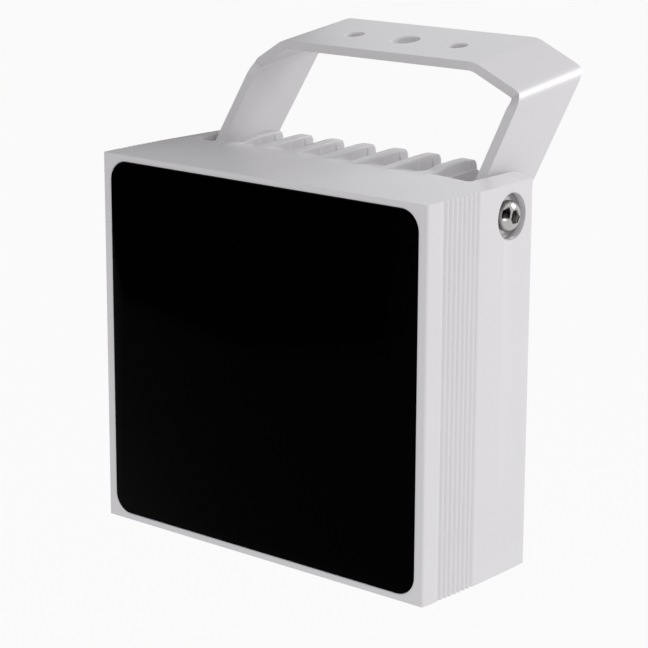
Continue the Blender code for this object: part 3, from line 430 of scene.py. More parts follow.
# The cap is drawn first: rounded at its rim, cut into small faces, arched and scooped. The bottom is its
# mirror image, with less arch, and the walls join the two. The cuts lie close together where the cap bends.
housing = bmesh.new()
cap = housing.faces.new([housing.verts.new((x, y, height - rim)) for x, y in plan])
round_rim(housing, cap, height, rim)
x_cuts = {index * 0.006 for index in range(-12, 13)}
soft_steps = (-0.00040, -0.00015, -0.00005, 0, 0.00005, 0.00012, 0.00022, 0.0004, 0.0007, 0.0010, 0.0014)
for x in fin_places:
    for offset in soft_steps + (0.0020, 0.0030):
        x_cuts |= {x + stem + offset, x - stem - offset}
for offset in soft_steps[:-2]:
    x_cuts |= {slot_inner + head - stem + offset, stem - head - slot_inner - offset}
y_cuts = [0.002, 0.006, 0.011, 0.016, 0.021, 0.025]
y_cuts += [roll_start + index * 0.0011 for index in range(16)]
y_cuts += [0.0442, 0.0444, 0.0447, 0.0450, 0.0453, 0.04555, 0.04575, 0.0459]
y_cuts += [0.0552, 0.0554, 0.0556, 0.0558, 0.0560, 0.0562, 0.0583, 0.0587, 0.0590, 0.0593, 0.05955]
y_cuts += [cove_front + offset for offset in soft_steps[:-2]]
same_place = 0.000002
for direction, places in (((1, 0, 0), x_cuts), ((0, 1, 0), y_cuts)):
    for place in sorted(places):
        bmesh.ops.bisect_plane(housing, geom=everything(housing), dist=same_place,
                               plane_co=Vector(direction) * place, plane_no=direction)
copy = bmesh.ops.duplicate(housing, geom=everything(housing))["geom"]
for vert in (item for item in copy if isinstance(item, bmesh.types.BMVert)):
    vert.co.z = height - vert.co.z
bmesh.ops.reverse_faces(housing, faces=[item for item in copy if isinstance(item, bmesh.types.BMFace)])
for vert in housing.verts:
    arch = crown(vert.co.x, vert.co.y)
    rolled = scoop(vert.co.x, vert.co.y)
    vert.co.z += arch - rolled if vert.co.z > height / 2 else rolled - bottom_arch_share * arch
for sign in (1, -1):
    edges = [edge for edge in housing.edges
             if edge.is_boundary and sign * (edge.verts[0].co.z - height / 2) > 0]
    moved = bmesh.ops.extrude_edge_only(housing, edges=edges)["geom"]
    moved = [item for item in moved if isinstance(item, bmesh.types.BMVert)]
    bmesh.ops.translate(housing, verts=moved, vec=(0, 0, -sign * rim_support))
bmesh.ops.bridge_loops(housing, edges=[edge for edge in housing.edges if edge.is_boundary])
bmesh.ops.recalc_face_normals(housing, faces=housing.faces)

# The hollow behind the window: its recess with a softened edge, the air space and the deeper well
window_half = width / 2 - 0.0040
window_low = 0.0025
window_corner = 0.0070
window_gap = 0.00020
recess_flare = 0.00045
recess_floor = 0.0031
seal_ledge = 0.0054
well_half = 0.0427
well_margin = 0.010
well_corner = 0.003
well_start = 0.0305
well_floor = 0.0425
overrun = 0.005


def window_outline(inset):
    """The window's outline, drawn in by the inset."""
    return rectangle(window_half - inset, window_low + inset, height - window_low - inset,
                     window_corner - inset)


def about_pivot(levels, sign, steps=48):
    """Circles about the pivot axis on one side. Each level is a radius and its distance from the middle."""
    return [(circle(pivot_y, pivot_z, radius, steps), sign * place) for radius, place in levels]


def about_gland(levels, steps=48):
    """Circles about the gland's axis. Each level is a radius and its distance behind the front."""
    return [(circle(0, gland_height, radius, steps), place) for radius, place in levels]


hollow = bmesh.new()
well = rectangle(well_half, well_margin, height - well_margin, well_corner)
stack(hollow, [
    (window_outline(-recess_flare), -overrun), (window_outline(-recess_flare), -0.00005),
    (window_outline(-window_gap), 0.00022), (window_outline(-window_gap), recess_floor),
    (window_outline(seal_ledge), recess_floor), (window_outline(seal_ledge), well_start),
    (well, well_start), (well, well_floor)], "Y")

# Round the gland the fins are cut away. A counterbore in each side takes a pivot screw's head and washer.
gland_height = 0.026
gland_clearing = 0.0112
counterbore = 0.0079
counterbore_floor = 0.0688
stack(hollow, about_gland([(gland_clearing, 0.050), (gland_clearing, 0.070)]), "Y")
rim_place = half_width(pivot_y)
for sign in (1, -1):
    levels = [(counterbore, counterbore_floor), (counterbore, rim_place - 0.0004),
              (counterbore + 0.00008, rim_place - 0.0002), (counterbore + 0.0003, rim_place),
              (counterbore + 0.0006, rim_place + 0.0002), (counterbore + 0.0006, 0.080)]
    stack(hollow, about_pivot(levels, sign, 96), "X")

# Inside are four pillars for the driver board's screws, outside the boss for the gland. All are bored.
pillar = 0.0032
screw_bore = 0.00155
pivot_bore = 0.0033
gland_bore = 0.0063
gland_boss = 0.0106
boss_end = 0.0500
emitter_screws = [(sign * 0.02914, z) for sign in (-1, 1) for z in (0.052, 0.117)]
driver_screws = [(sign * 0.0335, z) for sign in (-1, 1) for z in (0.0165, 0.0395)]
bosses = bmesh.new()
bores = bmesh.new()
for x, z in driver_screws:
    stack(bosses, [(circle(x, z, pillar, 24), place) for place in (0.0340, 0.0441)], "Y")
    stack(bores, [(circle(x, z, screw_bore, 16), place) for place in (0.033, 0.0405)], "Y")
for x, z in emitter_screws:
    stack(bores, [(circle(x, z, screw_bore, 16), place) for place in (0.042, 0.0485)], "Y")
for sign in (1, -1):
    stack(bores, about_pivot([(pivot_bore, 0.0625), (pivot_bore, 0.0705)], sign), "X")
stack(bosses, about_gland([(gland_boss, 0.0440), (gland_boss, boss_end - 0.0003),
                           (gland_boss - 0.0003, boss_end)], 64), "Y")
stack(bores, about_gland([(gland_bore, 0.042), (gland_bore, 0.0503)], 32), "Y")

# Satin polyester powder paint: it melts to a film with a soft orange peel, about 1.4 mm from crest to
# crest, and a fine grain of about 0.35 mm, as fine as shows here. The film's shade drifts over some 30 mm.
white_paint = bpy.data.materials.new("satin_white_powder_paint")
white_paint.use_nodes = True
tree = white_paint.node_tree
shader = tree.nodes["Principled BSDF"]
shader.inputs["IOR"].default_value = 1.5
place = add_node(tree, "ShaderNodeTexCoord").outputs["Object"]
drift = add_node(tree, "ShaderNodeTexNoise", values={"Scale": 33.0, "Detail": 2.0},
                 links=[("Vector", place)])
shade = add_node(tree, "ShaderNodeMix", {"data_type": "RGBA"}, {6: colour("#D9D7DA"), 7: colour("#DDDBDE")},
                 [(0, drift.outputs["Fac"])])
peel = add_node(tree, "ShaderNodeTexNoise", values={"Scale": 700.0, "Detail": 1.0},
                links=[("Vector", place)])
grain = add_node(tree, "ShaderNodeTexNoise", values={"Scale": 2800.0, "Detail": 1.0},
                 links=[("Vector", place)])
gloss = add_node(tree, "ShaderNodeMapRange",
                 values={"From Min": 0.3, "From Max": 0.7, "To Min": 0.28, "To Max": 0.34},
                 links=[("Value", grain.outputs["Fac"])])
peel_bump = add_node(tree, "ShaderNodeBump", values={"Strength": 0.5, "Distance": 0.00002},
                     links=[("Height", peel.outputs["Fac"])])
grain_bump = add_node(tree, "ShaderNodeBump", values={"Strength": 0.4, "Distance": 0.000008},
                      links=[("Height", grain.outputs["Fac"]), ("Normal", peel_bump.outputs["Normal"])])
tree.links.new(shade.outputs[2], shader.inputs["Base Color"])
tree.links.new(gloss.outputs["Result"], shader.inputs["Roughness"])
tree.links.new(grain_bump.outputs["Normal"], shader.inputs["Normal"])
housing = shaped(housing, [("DIFFERENCE", hollow), ("UNION", bosses), ("DIFFERENCE", bores)])
casting = make_object("painted_casting", housing, white_paint)
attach(casting, "illuminator")
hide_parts("housing")

# Window: a flat sheet of black acrylic that only infrared passes, set flush in the front
# Its edge is slightly rounded. It is polished, but it throws back very little light.
window_front = -0.0005
window_rear = 0.0028
window = bmesh.new()
stack(window, [(window_outline(0.00022), window_front), (window_outline(0.00008), window_front + 0.00006),
               (window_outline(0), window_front + 0.00022), (window_outline(0), window_rear)], "Y")
black_acrylic = bpy.data.materials.new("infrared_black_acrylic")
black_acrylic.use_nodes = True
shader = black_acrylic.node_tree.nodes["Principled BSDF"]
shader.inputs["Base Color"].default_value = colour("#010101")
shader.inputs["Roughness"].default_value = 0.12
shader.inputs["IOR"].default_value = 1.49
shader.inputs["Specular IOR Level"].default_value = 0.008
pane = make_object("window_pane", window, black_acrylic)
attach(pane, "illuminator")
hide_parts("window")


# Bracket: one strip of aluminium plate, cut with slanted edges and round ends, then folded four times
# It has the housing's powder paint, made a little greyer as painted shade. Three holes in its bar take the
# fixing screws.
arm_outer = 0.0615
arm_thick = 0.0039
arm_inner = arm_outer - arm_thick
arm_bend = 0.0070
arm_drawn_to = 0.10
bar_thick = 0.0032
bar_bend = 0.0090
shoulder_low = 0.1515
bar_top = 0.1616
bar_half = 0.0437
bar_pitch = math.radians(7.7)
front_lean = math.radians(37)
rear_lean = math.radians(39.5)
front_foot = 0.0455
rear_foot = 0.0762
shoulder_forward = 0.0022
taper_drop = 0.0040
tip_radius = 0.0105
plate_half = 0.00175
plate_rim = 0.0008
hole_pitch = 0.0235
hole_radius = 0.00325
middle_hole = 0.0050
holes_forward = 0.0016


def slanted(foot, lean, level):
    """How far along the folds one of the arms' slanted edges is, at a level above the base."""
    start = foot * math.cos(bar_pitch) + height * math.sin(bar_pitch)
    low = height * math.cos(bar_pitch) - foot * math.sin(bar_pitch)
    return start + (level - low) * math.tan(lean + bar_pitch)


def strip_edge(foot, lean, level):
    """The same, with the shoulder's edge that runs forward from the arm's fold to the bar's."""
    forward_share = max(0.0, level - shoulder_low) / (bar_top - shoulder_low)
    return slanted(foot, lean, min(level, shoulder_low)) - shoulder_forward * forward_share


slope = (bar_top - shoulder_low) / (arm_outer - bar_half)
spread = (arm_thick + bar_thick) / 2 * math.sqrt(1 + slope ** 2)
under = bar_top - bar_thick
under_reach = arm_outer - (under + spread - shoulder_low) / slope
outer_face = rounded_outline([(0, bar_top, 0, 0), (bar_half, bar_top, bar_bend, 10),
                              (arm_outer, shoulder_low, arm_bend, 10), (arm_outer, arm_drawn_to, 0, 0)])
fold_level = shoulder_low + slope * arm_thick - spread
inner_face = rounded_outline([(0, under, 0, 0), (under_reach, under, bar_bend - bar_thick, 10),
                              (arm_inner, fold_level, arm_bend - bar_thick, 10),
                              (arm_inner, arm_drawn_to, 0, 0)])
lengths = [0.0]
for near, far in zip(outer_face, outer_face[1:]):
    lengths.append(lengths[-1] + (far - near).length)


def folded(reach, along, through):
    """Where a point of the flat strip lies once it is folded and leans back."""
    index = max(item for item in range(len(lengths) - 1) if lengths[item] <= abs(reach) + 1e-9)
    share = (abs(reach) - lengths[index]) / (lengths[index + 1] - lengths[index])
    on_outer = outer_face[index].lerp(outer_face[index + 1], share)
    on_inner = inner_face[index].lerp(inner_face[index + 1], share)
    across, level = on_inner.lerp(on_outer, (through / plate_half + 1) / 2)
    return Matrix.Rotation(bar_pitch, 3, "X") @ Vector((math.copysign(across, reach), along, level))


# The housing's powder paint, a little greyer: painted shade, so that the bracket shows darker than the
# housing's sides, which face the same way.
shaded_bracket_paint = white_paint.copy()
shaded_bracket_paint.name = "satin_white_powder_paint_painted_shade"
bracket_shade_mix = next(node for node in shaded_bracket_paint.node_tree.nodes if node.bl_idname == "ShaderNodeMix")
bracket_shade_mix.inputs[6].default_value = colour("#D1CFD2")
bracket_shade_mix.inputs[7].default_value = colour("#D5D3D6")

# The blank is drawn flat, one half at a time: the front edge, the round tip about the pivot, the rear edge.
taper = Vector((rear_foot - taper_drop * math.tan(rear_lean), height - taper_drop))
hub = Vector((pivot_y, pivot_z))
rear_tangent = math.atan2(*(taper - hub).yx) - math.acos(tip_radius / (taper - hub).length)
square = Vector((-math.cos(front_lean), math.sin(front_lean)))
offset = square.dot(Vector((front_foot, height)) - hub)
front_meet = math.atan2(square.y, square.x) - math.acos(offset / tip_radius) - 2 * math.pi
turns = [front_meet + (rear_tangent - front_meet) * step / 40 for step in range(41)]
front_edge = [(length, strip_edge(front_foot, front_lean, point.y))
              for length, point in zip(lengths, outer_face)][:-1]
rear_edge = [(length, strip_edge(rear_foot, rear_lean, point.y))
             for length, point in zip(lengths, outer_face)][:-1]
tip = []
for y, z in [hub + tip_radius * Vector((math.cos(turn), math.sin(turn))) for turn in turns] + [taper]:
    level = z * math.cos(bar_pitch) - y * math.sin(bar_pitch)
    along = y * math.cos(bar_pitch) + z * math.sin(bar_pitch)
    tip.append((lengths[-2] + outer_face[-2].y - level, along))
half_blank = front_edge + tip + rear_edge[::-1]
blank = half_blank + [(-reach, along) for reach, along in reversed(half_blank[1:-1])]
bracket = bmesh.new()
sheet = bracket.faces.new([bracket.verts.new((reach, along, plate_half - plate_rim))
                           for reach, along in blank])
sheet.normal_update()
if sheet.normal.z < 0:
    sheet.normal_flip()
round_rim(bracket, sheet, plate_half, plate_rim)
for length in lengths[1:-1]:
    for reach in (length, -length):
        bmesh.ops.bisect_plane(bracket, geom=everything(bracket), dist=same_place,
                               plane_co=(reach, 0, 0), plane_no=(1, 0, 0))
copy = bmesh.ops.duplicate(bracket, geom=everything(bracket))["geom"]
bmesh.ops.scale(bracket, vec=(1, 1, -1),
                verts=[item for item in copy if isinstance(item, bmesh.types.BMVert)])
bmesh.ops.bridge_loops(bracket, edges=[edge for edge in bracket.edges if edge.is_boundary])
for vert in bracket.verts:
    vert.co = folded(*vert.co)
bmesh.ops.recalc_face_normals(bracket, faces=bracket.faces)

# The bar's holes run square through it and are chamfered, and the arms' holes take the pivot screws.
holes = bmesh.new()
bar_front = strip_edge(front_foot, front_lean, bar_top)
bar_rear = strip_edge(rear_foot, rear_lean, bar_top)
bar_middle = (bar_front + bar_rear) / 2 - holes_forward
for x, radius in ((-hole_pitch, hole_radius), (0, middle_hole), (hole_pitch, hole_radius)):
    levels = ((radius + 0.0008, bar_top + 0.0003), (radius, bar_top - 0.0005),
              (radius, under + 0.0003), (radius + 0.0006, under - 0.0003))
    stack(holes, [(circle(x, bar_middle, flare), level) for flare, level in levels], "Z")
bmesh.ops.transform(holes, matrix=Matrix.Rotation(bar_pitch, 4, "X"), verts=holes.verts)
for sign in (-1, 1):
    stack(holes, about_pivot([(pivot_bore, 0.05), (pivot_bore, 0.07)], sign), "X")
strip = make_object("folded_bracket", shaped(bracket, [("DIFFERENCE", holes)]), shaded_bracket_paint)
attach(strip, "bracket")
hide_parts("bracket")


# Pivot fastenings: a stainless button head screw with a hex socket and a plain washer on each side
# The screw is cold formed, and bright from tumbling, which leaves scuffs of about 0.7 mm.
# The washer lies at the bottom of the counterbore.
polished_steel = bpy.data.materials.new("polished_stainless_steel")
polished_steel.use_nodes = True
tree = polished_steel.node_tree
shader = tree.nodes["Principled BSDF"]
shader.inputs["Base Color"].default_value = colour("#B6B5B4")
shader.inputs["Metallic"].default_value = 1.0
place = add_node(tree, "ShaderNodeTexCoord").outputs["Object"]
scuffs = add_node(tree, "ShaderNodeTexNoise", values={"Scale": 1400.0, "Detail": 2.0},
                  links=[("Vector", place)])
polish = add_node(tree, "ShaderNodeMapRange",
                  values={"From Min": 0.35, "From Max": 0.65, "To Min": 0.10, "To Max": 0.20},
                  links=[("Value", scuffs.outputs["Fac"])])
scuff_bump = add_node(tree, "ShaderNodeBump", values={"Strength": 0.3, "Distance": 0.00001},
                      links=[("Height", scuffs.outputs["Fac"])])
tree.links.new(polish.outputs["Result"], shader.inputs["Roughness"])
tree.links.new(scuff_bump.outputs["Normal"], shader.inputs["Normal"])


def hexagon(x, y, flats, steps=96):
    """A hexagon with its points at even angles: 96 to follow a circle in a stack, or the 6 corners."""
    points = []
    for step in range(steps):
        turn = 2 * math.pi * step / steps
        reach = flats / 2 / math.cos(turn % (math.pi / 3) - math.pi / 6)
        points.append(Vector((x + reach * math.cos(turn), y + reach * math.sin(turn))))
    return points


washer_low = counterbore_floor + 0.0001
washer_thick = 0.0014
washer_radius = 0.0075
seat = washer_low + washer_thick + 0.0001
head_radius = 0.00535
head_rim = 0.0006
head_high = 0.0036
dome_end = 60
shank = 0.0030
thread_root = 0.0026
thread_pitch = 0.0010
thread_start = 0.0514
thread_end = 0.0585
socket = 0.0041
for sign, side_name in ((1, "right"), (-1, "left")):
    levels = [(0.0024, thread_start - 0.0006), (0.0029, thread_start - 0.0002)]
    for thread in range(7):
        crest = thread_start + thread * thread_pitch
        levels += [(shank, crest), (shank, crest + 0.0002),
                   (thread_root, crest + 0.0006), (thread_root, crest + 0.0007)]
    levels += [(shank, thread_end), (shank, seat), (head_radius - 0.0003, seat),
               (head_radius, seat + 0.0002), (head_radius, seat + head_rim - 0.0001)]
    for step in range(1, 13):
        bend = math.radians(step * dome_end / 12)
        rise = (head_high - head_rim) / math.sin(math.radians(dome_end)) * math.sin(bend)
        levels.append((head_radius * math.cos(bend), seat + head_rim + rise))
    top = seat + head_high
    socket_levels = ((socket + 0.0005, top), (socket, top - 0.0003),
                     (socket, top - 0.0022), (0.0004, top - 0.0030))
    socket_rings = [(hexagon(pivot_y, pivot_z, flats), sign * place) for flats, place in socket_levels]
    screw = bmesh.new()
    stack(screw, about_pivot(levels, sign, 96) + socket_rings, "X")
    screw = make_object(f"button_head_screw_{side_name}", screw, polished_steel)
    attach(screw, "illuminator")
    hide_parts(f"pivot_screw_{side_name}")
    washer = bmesh.new()
    levels = ((washer_radius - 0.00015, washer_low), (washer_radius, washer_low + 0.00015),
              (washer_radius, washer_low + 0.00115), (washer_radius - 0.00007, washer_low + 0.00133),
              (washer_radius - 0.0002, washer_low + washer_thick))
    stack(washer, about_pivot(levels, sign, 96), "X")
    bore = bmesh.new()
    stack(bore, about_pivot([(pivot_bore, washer_low - 0.001), (pivot_bore, washer_low + 0.003)], sign), "X")
    washer = make_object(f"plain_washer_{side_name}", shaped(washer, [("DIFFERENCE", bore)]), polished_steel)
    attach(washer, "illuminator")
    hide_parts(f"pivot_washer_{side_name}")


# Lock nuts: M6 nylon insert nuts on the pivot screws, tightened against the bracket's arms from inside
# They are pressed from stainless steel, with chamfered corners and a rolled collar round the nylon ring.
# The ring is polyamide, a warm white with a soft, slightly waxy shine.
white_polyamide = bpy.data.materials.new("white_polyamide")
white_polyamide.use_nodes = True
tree = white_polyamide.node_tree
shader = tree.nodes["Principled BSDF"]
shader.inputs["IOR"].default_value = 1.53
shader.inputs["Subsurface Weight"].default_value = 0.08
shader.inputs["Subsurface Scale"].default_value = 0.002
place = add_node(tree, "ShaderNodeTexCoord").outputs["Object"]
flow = add_node(tree, "ShaderNodeTexNoise", values={"Scale": 150.0, "Detail": 3.0},
                links=[("Vector", place)])
shade = add_node(tree, "ShaderNodeMix", {"data_type": "RGBA"}, {6: colour("#D2D2D0"), 7: colour("#DADAD8")},
                 [(0, flow.outputs["Fac"])])
# Polyamide comes from a spark eroded mould, which leaves a grain of about 0.3 mm.
spark = add_node(tree, "ShaderNodeTexNoise", values={"Scale": 3300.0, "Detail": 1.0},
                 links=[("Vector", place)])
spark_bump = add_node(tree, "ShaderNodeBump", values={"Strength": 0.4, "Distance": 0.00001},
                      links=[("Height", spark.outputs["Fac"])])
gloss = add_node(tree, "ShaderNodeMapRange", values={"To Min": 0.38, "To Max": 0.50},
                 links=[("Value", spark.outputs["Fac"])])
tree.links.new(shade.outputs[2], shader.inputs["Base Color"])
tree.links.new(gloss.outputs["Result"], shader.inputs["Roughness"])
tree.links.new(spark_bump.outputs["Normal"], shader.inputs["Normal"])
nut_flats = 0.010
nut_high = 0.0037
nut_face = 0.0049
nut_corner = 0.0058
collar_radius = 0.0044
pocket_radius = 0.0037
ring_radius = 0.0036
ring_bore = 0.0031
nut_seat = arm_inner - 0.0002
for sign, side_name in ((1, "right"), (-1, "left")):
    nut = bmesh.new()
    stack(nut, [(hexagon(pivot_y, pivot_z, nut_flats, 6), sign * place)
                for place in (nut_seat, nut_seat - nut_high)], "X")
    chamfer = bmesh.new()
    levels = ((nut_face, nut_seat + 0.0001), (nut_corner, nut_seat - 0.0005),
              (nut_corner, nut_seat - 0.0030), (nut_face, nut_seat - 0.0036))
    stack(chamfer, about_pivot(levels, sign, 72), "X")
    collar = bmesh.new()
    levels = ((collar_radius, nut_seat - 0.0030), (collar_radius, nut_seat - 0.0044),
              (collar_radius - 0.0002, nut_seat - 0.0048), (collar_radius - 0.0006, nut_seat - 0.0050))
    stack(collar, about_pivot(levels, sign, 72), "X")
    bore = bmesh.new()
    stack(bore, about_pivot([(pivot_bore, 0.050), (pivot_bore, 0.060)], sign), "X")
    pocket = bmesh.new()
    stack(pocket, about_pivot([(pocket_radius, 0.050), (pocket_radius, nut_seat - 0.0040)], sign), "X")
    cuts = [("INTERSECT", chamfer), ("UNION", collar), ("DIFFERENCE", bore), ("DIFFERENCE", pocket)]
    nut = make_object(f"insert_nut_{side_name}", shaped(nut, cuts), polished_steel)
    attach(nut, "illuminator")
    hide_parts(f"lock_nut_{side_name}")
    ring = bmesh.new()
    stack(ring, about_pivot([(ring_radius, nut_seat - 0.0041), (ring_radius, nut_seat - 0.0047),
                             (ring_radius - 0.0001, nut_seat - 0.0048)], sign), "X")
    bore = bmesh.new()
    stack(bore, about_pivot([(ring_bore, 0.050), (ring_bore, 0.060)], sign), "X")
    ring = make_object(f"nylon_insert_{side_name}", shaped(ring, [("DIFFERENCE", bore)]), white_polyamide)
    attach(ring, "illuminator")


# Cable gland: a moulded polyamide body with a hexagonal flange, and a ribbed dome nut that squeezes its seal
# It is screwed into the boss below the bracket, and made of the same polyamide as the nuts' rings.
flange_flats = 0.017
flange_start = 0.0503
flange_end = flange_start + 0.0045
tube_radius = 0.0060
cord_bore = 0.0034
body = bmesh.new()
stack(body, [(hexagon(0, gland_height, flange_flats, 6), place)
             for place in (flange_start, flange_end)], "Y")
chamfer = bmesh.new()
stack(chamfer, about_gland([(0.0090, flange_start - 0.0002), (0.0094, flange_start),
                            (0.0100, flange_start + 0.0006), (0.0100, flange_end - 0.0010),
                            (0.0085, flange_end + 0.0001)], 96), "Y")
tube = bmesh.new()
stack(tube, about_gland([(tube_radius - 0.0003, 0.0363), (tube_radius, 0.0367),
                         (tube_radius, 0.0597), (tube_radius - 0.0002, 0.0600)]), "Y")
bore = bmesh.new()
stack(bore, about_gland([(cord_bore, 0.030), (cord_bore, 0.070)]), "Y")
body = shaped(body, [("INTERSECT", chamfer), ("UNION", tube), ("DIFFERENCE", bore)])
body = make_object("gland_with_flange", body, white_polyamide)
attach(body, "illuminator")
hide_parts("gland_body")


def ribbed(radius, rib):
    """A circle with 20 round grip ribs that stand in from its radius."""
    points = []
    for step in range(200):
        turn = 2 * math.pi * step / 200
        reach = radius - rib * (0.5 + 0.5 * math.cos(turn * 20)) ** 2
        points.append(Vector((reach * math.cos(turn), gland_height + reach * math.sin(turn))))
    return points


dome_radius = 0.0086
dome_round = 0.0030
rib_depth = 0.0005
nut_start = flange_end + 0.0003
nut_end = nut_start + 0.0118
nut = bmesh.new()
nut_levels = [(dome_radius - 0.0003, 0, nut_start), (dome_radius, 0, nut_start + 0.0003),
              (dome_radius, 0, nut_start + 0.0010), (dome_radius, rib_depth, nut_start + 0.0015),
              (dome_radius, rib_depth, nut_end - 0.0042), (dome_radius, 0, nut_end - 0.0034)]
for bend in range(10, 100, 10):
    turn = math.radians(bend)
    nut_levels.append((dome_radius - dome_round * (1 - math.cos(turn)), 0,
                       nut_end - dome_round * (1 - math.sin(turn))))
stack(nut, [(ribbed(radius, rib), place) for radius, rib, place in nut_levels], "Y")
inside = bmesh.new()
stack(inside, about_gland([(gland_bore, nut_start - 0.001), (gland_bore, nut_end - 0.0020)]), "Y")
mouth = bmesh.new()
stack(mouth, about_gland([(cord_bore, nut_end - 0.003), (cord_bore, nut_end - 0.0006),
                          (0.0037, nut_end - 0.0001), (0.0040, nut_end + 0.0002)]), "Y")
nut = shaped(nut, [("DIFFERENCE", inside), ("DIFFERENCE", mouth)])
nut = make_object("ribbed_dome_nut", nut, white_polyamide)
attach(nut, "illuminator")
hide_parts("gland_dome_nut")


def dress(node_name, material):
    """Give a piece that keeps its CAD shape its material."""
    node = frame["nodes"][node_name]
    node.data.materials.clear()
    node.data.materials.append(material)


dress("gland_lock_nut", white_polyamide)


# Seals and friction washers, moulded from black nitrile rubber
# Rubber is dull, with a bloom of grey in patches of a few millimetres and a fine grain from its mould.
black_rubber = bpy.data.materials.new("black_nitrile_rubber")
black_rubber.use_nodes = True
tree = black_rubber.node_tree
shader = tree.nodes["Principled BSDF"]
shader.inputs["IOR"].default_value = 1.52
shader.inputs["Roughness"].default_value = 0.75
place = add_node(tree, "ShaderNodeTexCoord").outputs["Object"]
bloom = add_node(tree, "ShaderNodeTexNoise", values={"Scale": 300.0, "Detail": 3.0},
                 links=[("Vector", place)])
shade = add_node(tree, "ShaderNodeMix", {"data_type": "RGBA"}, {6: colour("#171717"), 7: colour("#262626")},
                 [(0, bloom.outputs["Fac"])])
grain = add_node(tree, "ShaderNodeTexNoise", values={"Scale": 4000.0}, links=[("Vector", place)])
grain_bump = add_node(tree, "ShaderNodeBump", values={"Strength": 0.4, "Distance": 0.00002},
                      links=[("Height", grain.outputs["Fac"])])
tree.links.new(shade.outputs[2], shader.inputs["Base Color"])
tree.links.new(grain_bump.outputs["Normal"], shader.inputs["Normal"])
for node_name in ("window_seal", "gland_seal", "friction_washer_left", "friction_washer_right"):
    dress(node_name, black_rubber)


# Boards: glass fibre laminate under a coat of solder mask, white for the emitters and green for the driver
# The mask is glossy, and the weave below, with threads 0.5 mm apart, shows through it as a faint relief.
for board_name, mask_name, first, second in (
    ("emitter_board", "white_solder_mask", "#DAD9D2", "#E2E1DB"),
    ("driver_board", "green_solder_mask", "#14492A", "#1A5632"),
):
    mask = bpy.data.materials.new(mask_name)
    mask.use_nodes = True
    tree = mask.node_tree
    shader = tree.nodes["Principled BSDF"]
    shader.inputs["IOR"].default_value = 1.52
    shader.inputs["Roughness"].default_value = 0.28
    place = add_node(tree, "ShaderNodeTexCoord").outputs["Object"]
    weave = add_node(tree, "ShaderNodeTexVoronoi", {"distance": "CHEBYCHEV"},
                     {"Scale": 2000.0, "Randomness": 0.15}, [("Vector", place)])
    shade = add_node(tree, "ShaderNodeMix", {"data_type": "RGBA"}, {6: colour(first), 7: colour(second)},
                     [(0, weave.outputs["Distance"])])
    weave_bump = add_node(tree, "ShaderNodeBump", values={"Strength": 0.3, "Distance": 0.00001},
                          links=[("Height", weave.outputs["Distance"])])
    tree.links.new(shade.outputs[2], shader.inputs["Base Color"])
    tree.links.new(weave_bump.outputs["Normal"], shader.inputs["Normal"])
    dress(board_name, mask)


# Thermal pad: a soft sheet of grey silicone filled with ceramic powder, between emitter board and casting
# The filler shows as specks of about 0.3 mm in a matt, slightly blue grey.
silicone = bpy.data.materials.new("filled_silicone_sheet")
silicone.use_nodes = True
tree = silicone.node_tree
shader = tree.nodes["Principled BSDF"]
shader.inputs["IOR"].default_value = 1.41
shader.inputs["Roughness"].default_value = 0.8
specks = add_node(tree, "ShaderNodeTexNoise", values={"Scale": 3300.0, "Detail": 2.0},
                  links=[("Vector", add_node(tree, "ShaderNodeTexCoord").outputs["Object"])])
shade = add_node(tree, "ShaderNodeMix", {"data_type": "RGBA"}, {6: colour("#949AA2"), 7: colour("#ADB2B8")},
                 [(0, specks.outputs["Fac"])])
tree.links.new(shade.outputs[2], shader.inputs["Base Color"])
dress("thermal_pad", silicone)


# Lens plate and emitters: a clear polycarbonate moulding with nine lenses, over nine emitters in amber epoxy
# Polycarbonate is water clear and almost mirror smooth. The epoxy domes are tinted, and slightly cloudy in
# patches of 1 mm.
polycarbonate = bpy.data.materials.new("clear_polycarbonate")
polycarbonate.use_nodes = True
tree = polycarbonate.node_tree
shader = tree.nodes["Principled BSDF"]
shader.inputs["Base Color"].default_value = colour("#F4F6F7")
shader.inputs["IOR"].default_value = 1.585
shader.inputs["Transmission Weight"].default_value = 1.0
haze = add_node(tree, "ShaderNodeTexNoise", values={"Scale": 250.0},
                links=[("Vector", add_node(tree, "ShaderNodeTexCoord").outputs["Object"])])
gloss = add_node(tree, "ShaderNodeMapRange", values={"To Min": 0.02, "To Max": 0.07},
                 links=[("Value", haze.outputs["Fac"])])
tree.links.new(gloss.outputs["Result"], shader.inputs["Roughness"])
epoxy = bpy.data.materials.new("amber_epoxy")
epoxy.use_nodes = True
tree = epoxy.node_tree
shader = tree.nodes["Principled BSDF"]
shader.inputs["IOR"].default_value = 1.55
shader.inputs["Roughness"].default_value = 0.12
cloud = add_node(tree, "ShaderNodeTexNoise", values={"Scale": 1000.0},
                 links=[("Vector", add_node(tree, "ShaderNodeTexCoord").outputs["Object"])])
shade = add_node(tree, "ShaderNodeMix", {"data_type": "RGBA"}, {6: colour("#C9B37A"), 7: colour("#D6C48F")},
                 [(0, cloud.outputs["Fac"])])
tree.links.new(shade.outputs[2], shader.inputs["Base Color"])
dress("lens_plate", polycarbonate)
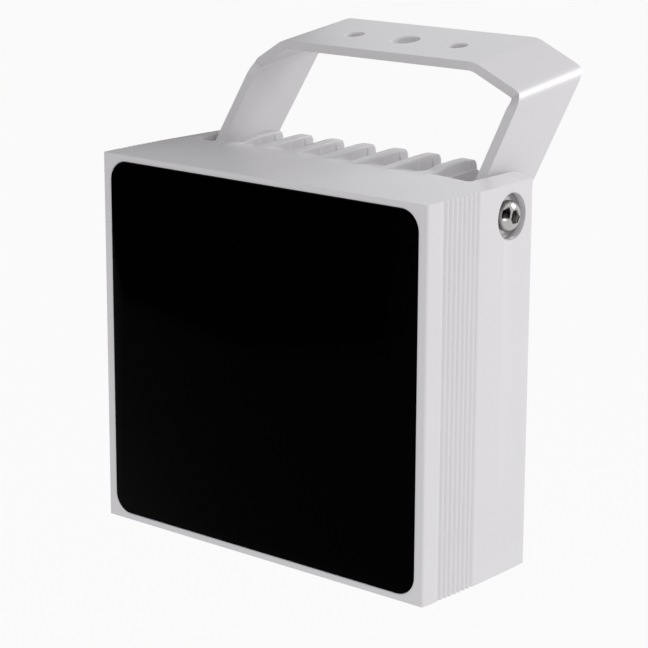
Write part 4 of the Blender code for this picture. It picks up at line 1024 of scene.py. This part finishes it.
for index in range(9):
    dress(f"emitter_{index + 1}", epoxy)


# Small parts of the driver: drawn aluminium cans, a ferrite drum core and a green polyamide terminal block
# Drawn aluminium has fine lines about 0.2 mm apart. Ferrite is matt and grainy, and the block is satin.
drawn_can = bpy.data.materials.new("drawn_aluminium_can")
ferrite = bpy.data.materials.new("ferrite_core")
green_polyamide = bpy.data.materials.new("green_polyamide")
for material, first, second, rough, metallic, stretch, scale in (
    (drawn_can, "#B4B5B7", "#C3C4C6", 0.30, 1.0, 0.02, 5000.0),
    (ferrite, "#2B2B2E", "#38383B", 0.60, 0.0, 1.0, 2500.0),
    (green_polyamide, "#2F8A52", "#37955A", 0.45, 0.0, 1.0, 900.0),
):
    material.use_nodes = True
    tree = material.node_tree
    shader = tree.nodes["Principled BSDF"]
    shader.inputs["Metallic"].default_value = metallic
    shader.inputs["Roughness"].default_value = rough
    place = add_node(tree, "ShaderNodeTexCoord").outputs["Object"]
    along = add_node(tree, "ShaderNodeMapping", values={"Scale": (1, stretch, 1)}, links=[("Vector", place)])
    lines = add_node(tree, "ShaderNodeTexNoise", values={"Scale": scale},
                     links=[("Vector", along.outputs[0])])
    shade = add_node(tree, "ShaderNodeMix", {"data_type": "RGBA"}, {6: colour(first), 7: colour(second)},
                     [(0, lines.outputs["Fac"])])
    line_bump = add_node(tree, "ShaderNodeBump", values={"Strength": 0.3, "Distance": 0.00001},
                         links=[("Height", lines.outputs["Fac"])])
    tree.links.new(shade.outputs[2], shader.inputs["Base Color"])
    tree.links.new(line_bump.outputs["Normal"], shader.inputs["Normal"])
for node_name, material in (
    ("capacitor_upper", drawn_can), ("capacitor_lower", drawn_can), ("light_sensor", drawn_can),
    ("inductor", ferrite), ("terminal_block", green_polyamide),
):
    dress(node_name, material)


# Board screws: eight small stainless screws with hex sockets, as bright as the pivot screws
for board_name in ("driver", "emitter"):
    for index in range(4):
        dress(f"{board_name}_board_screw_{index + 1}", polished_steel)

bpy.context.scene.view_settings.view_transform = "Standard"
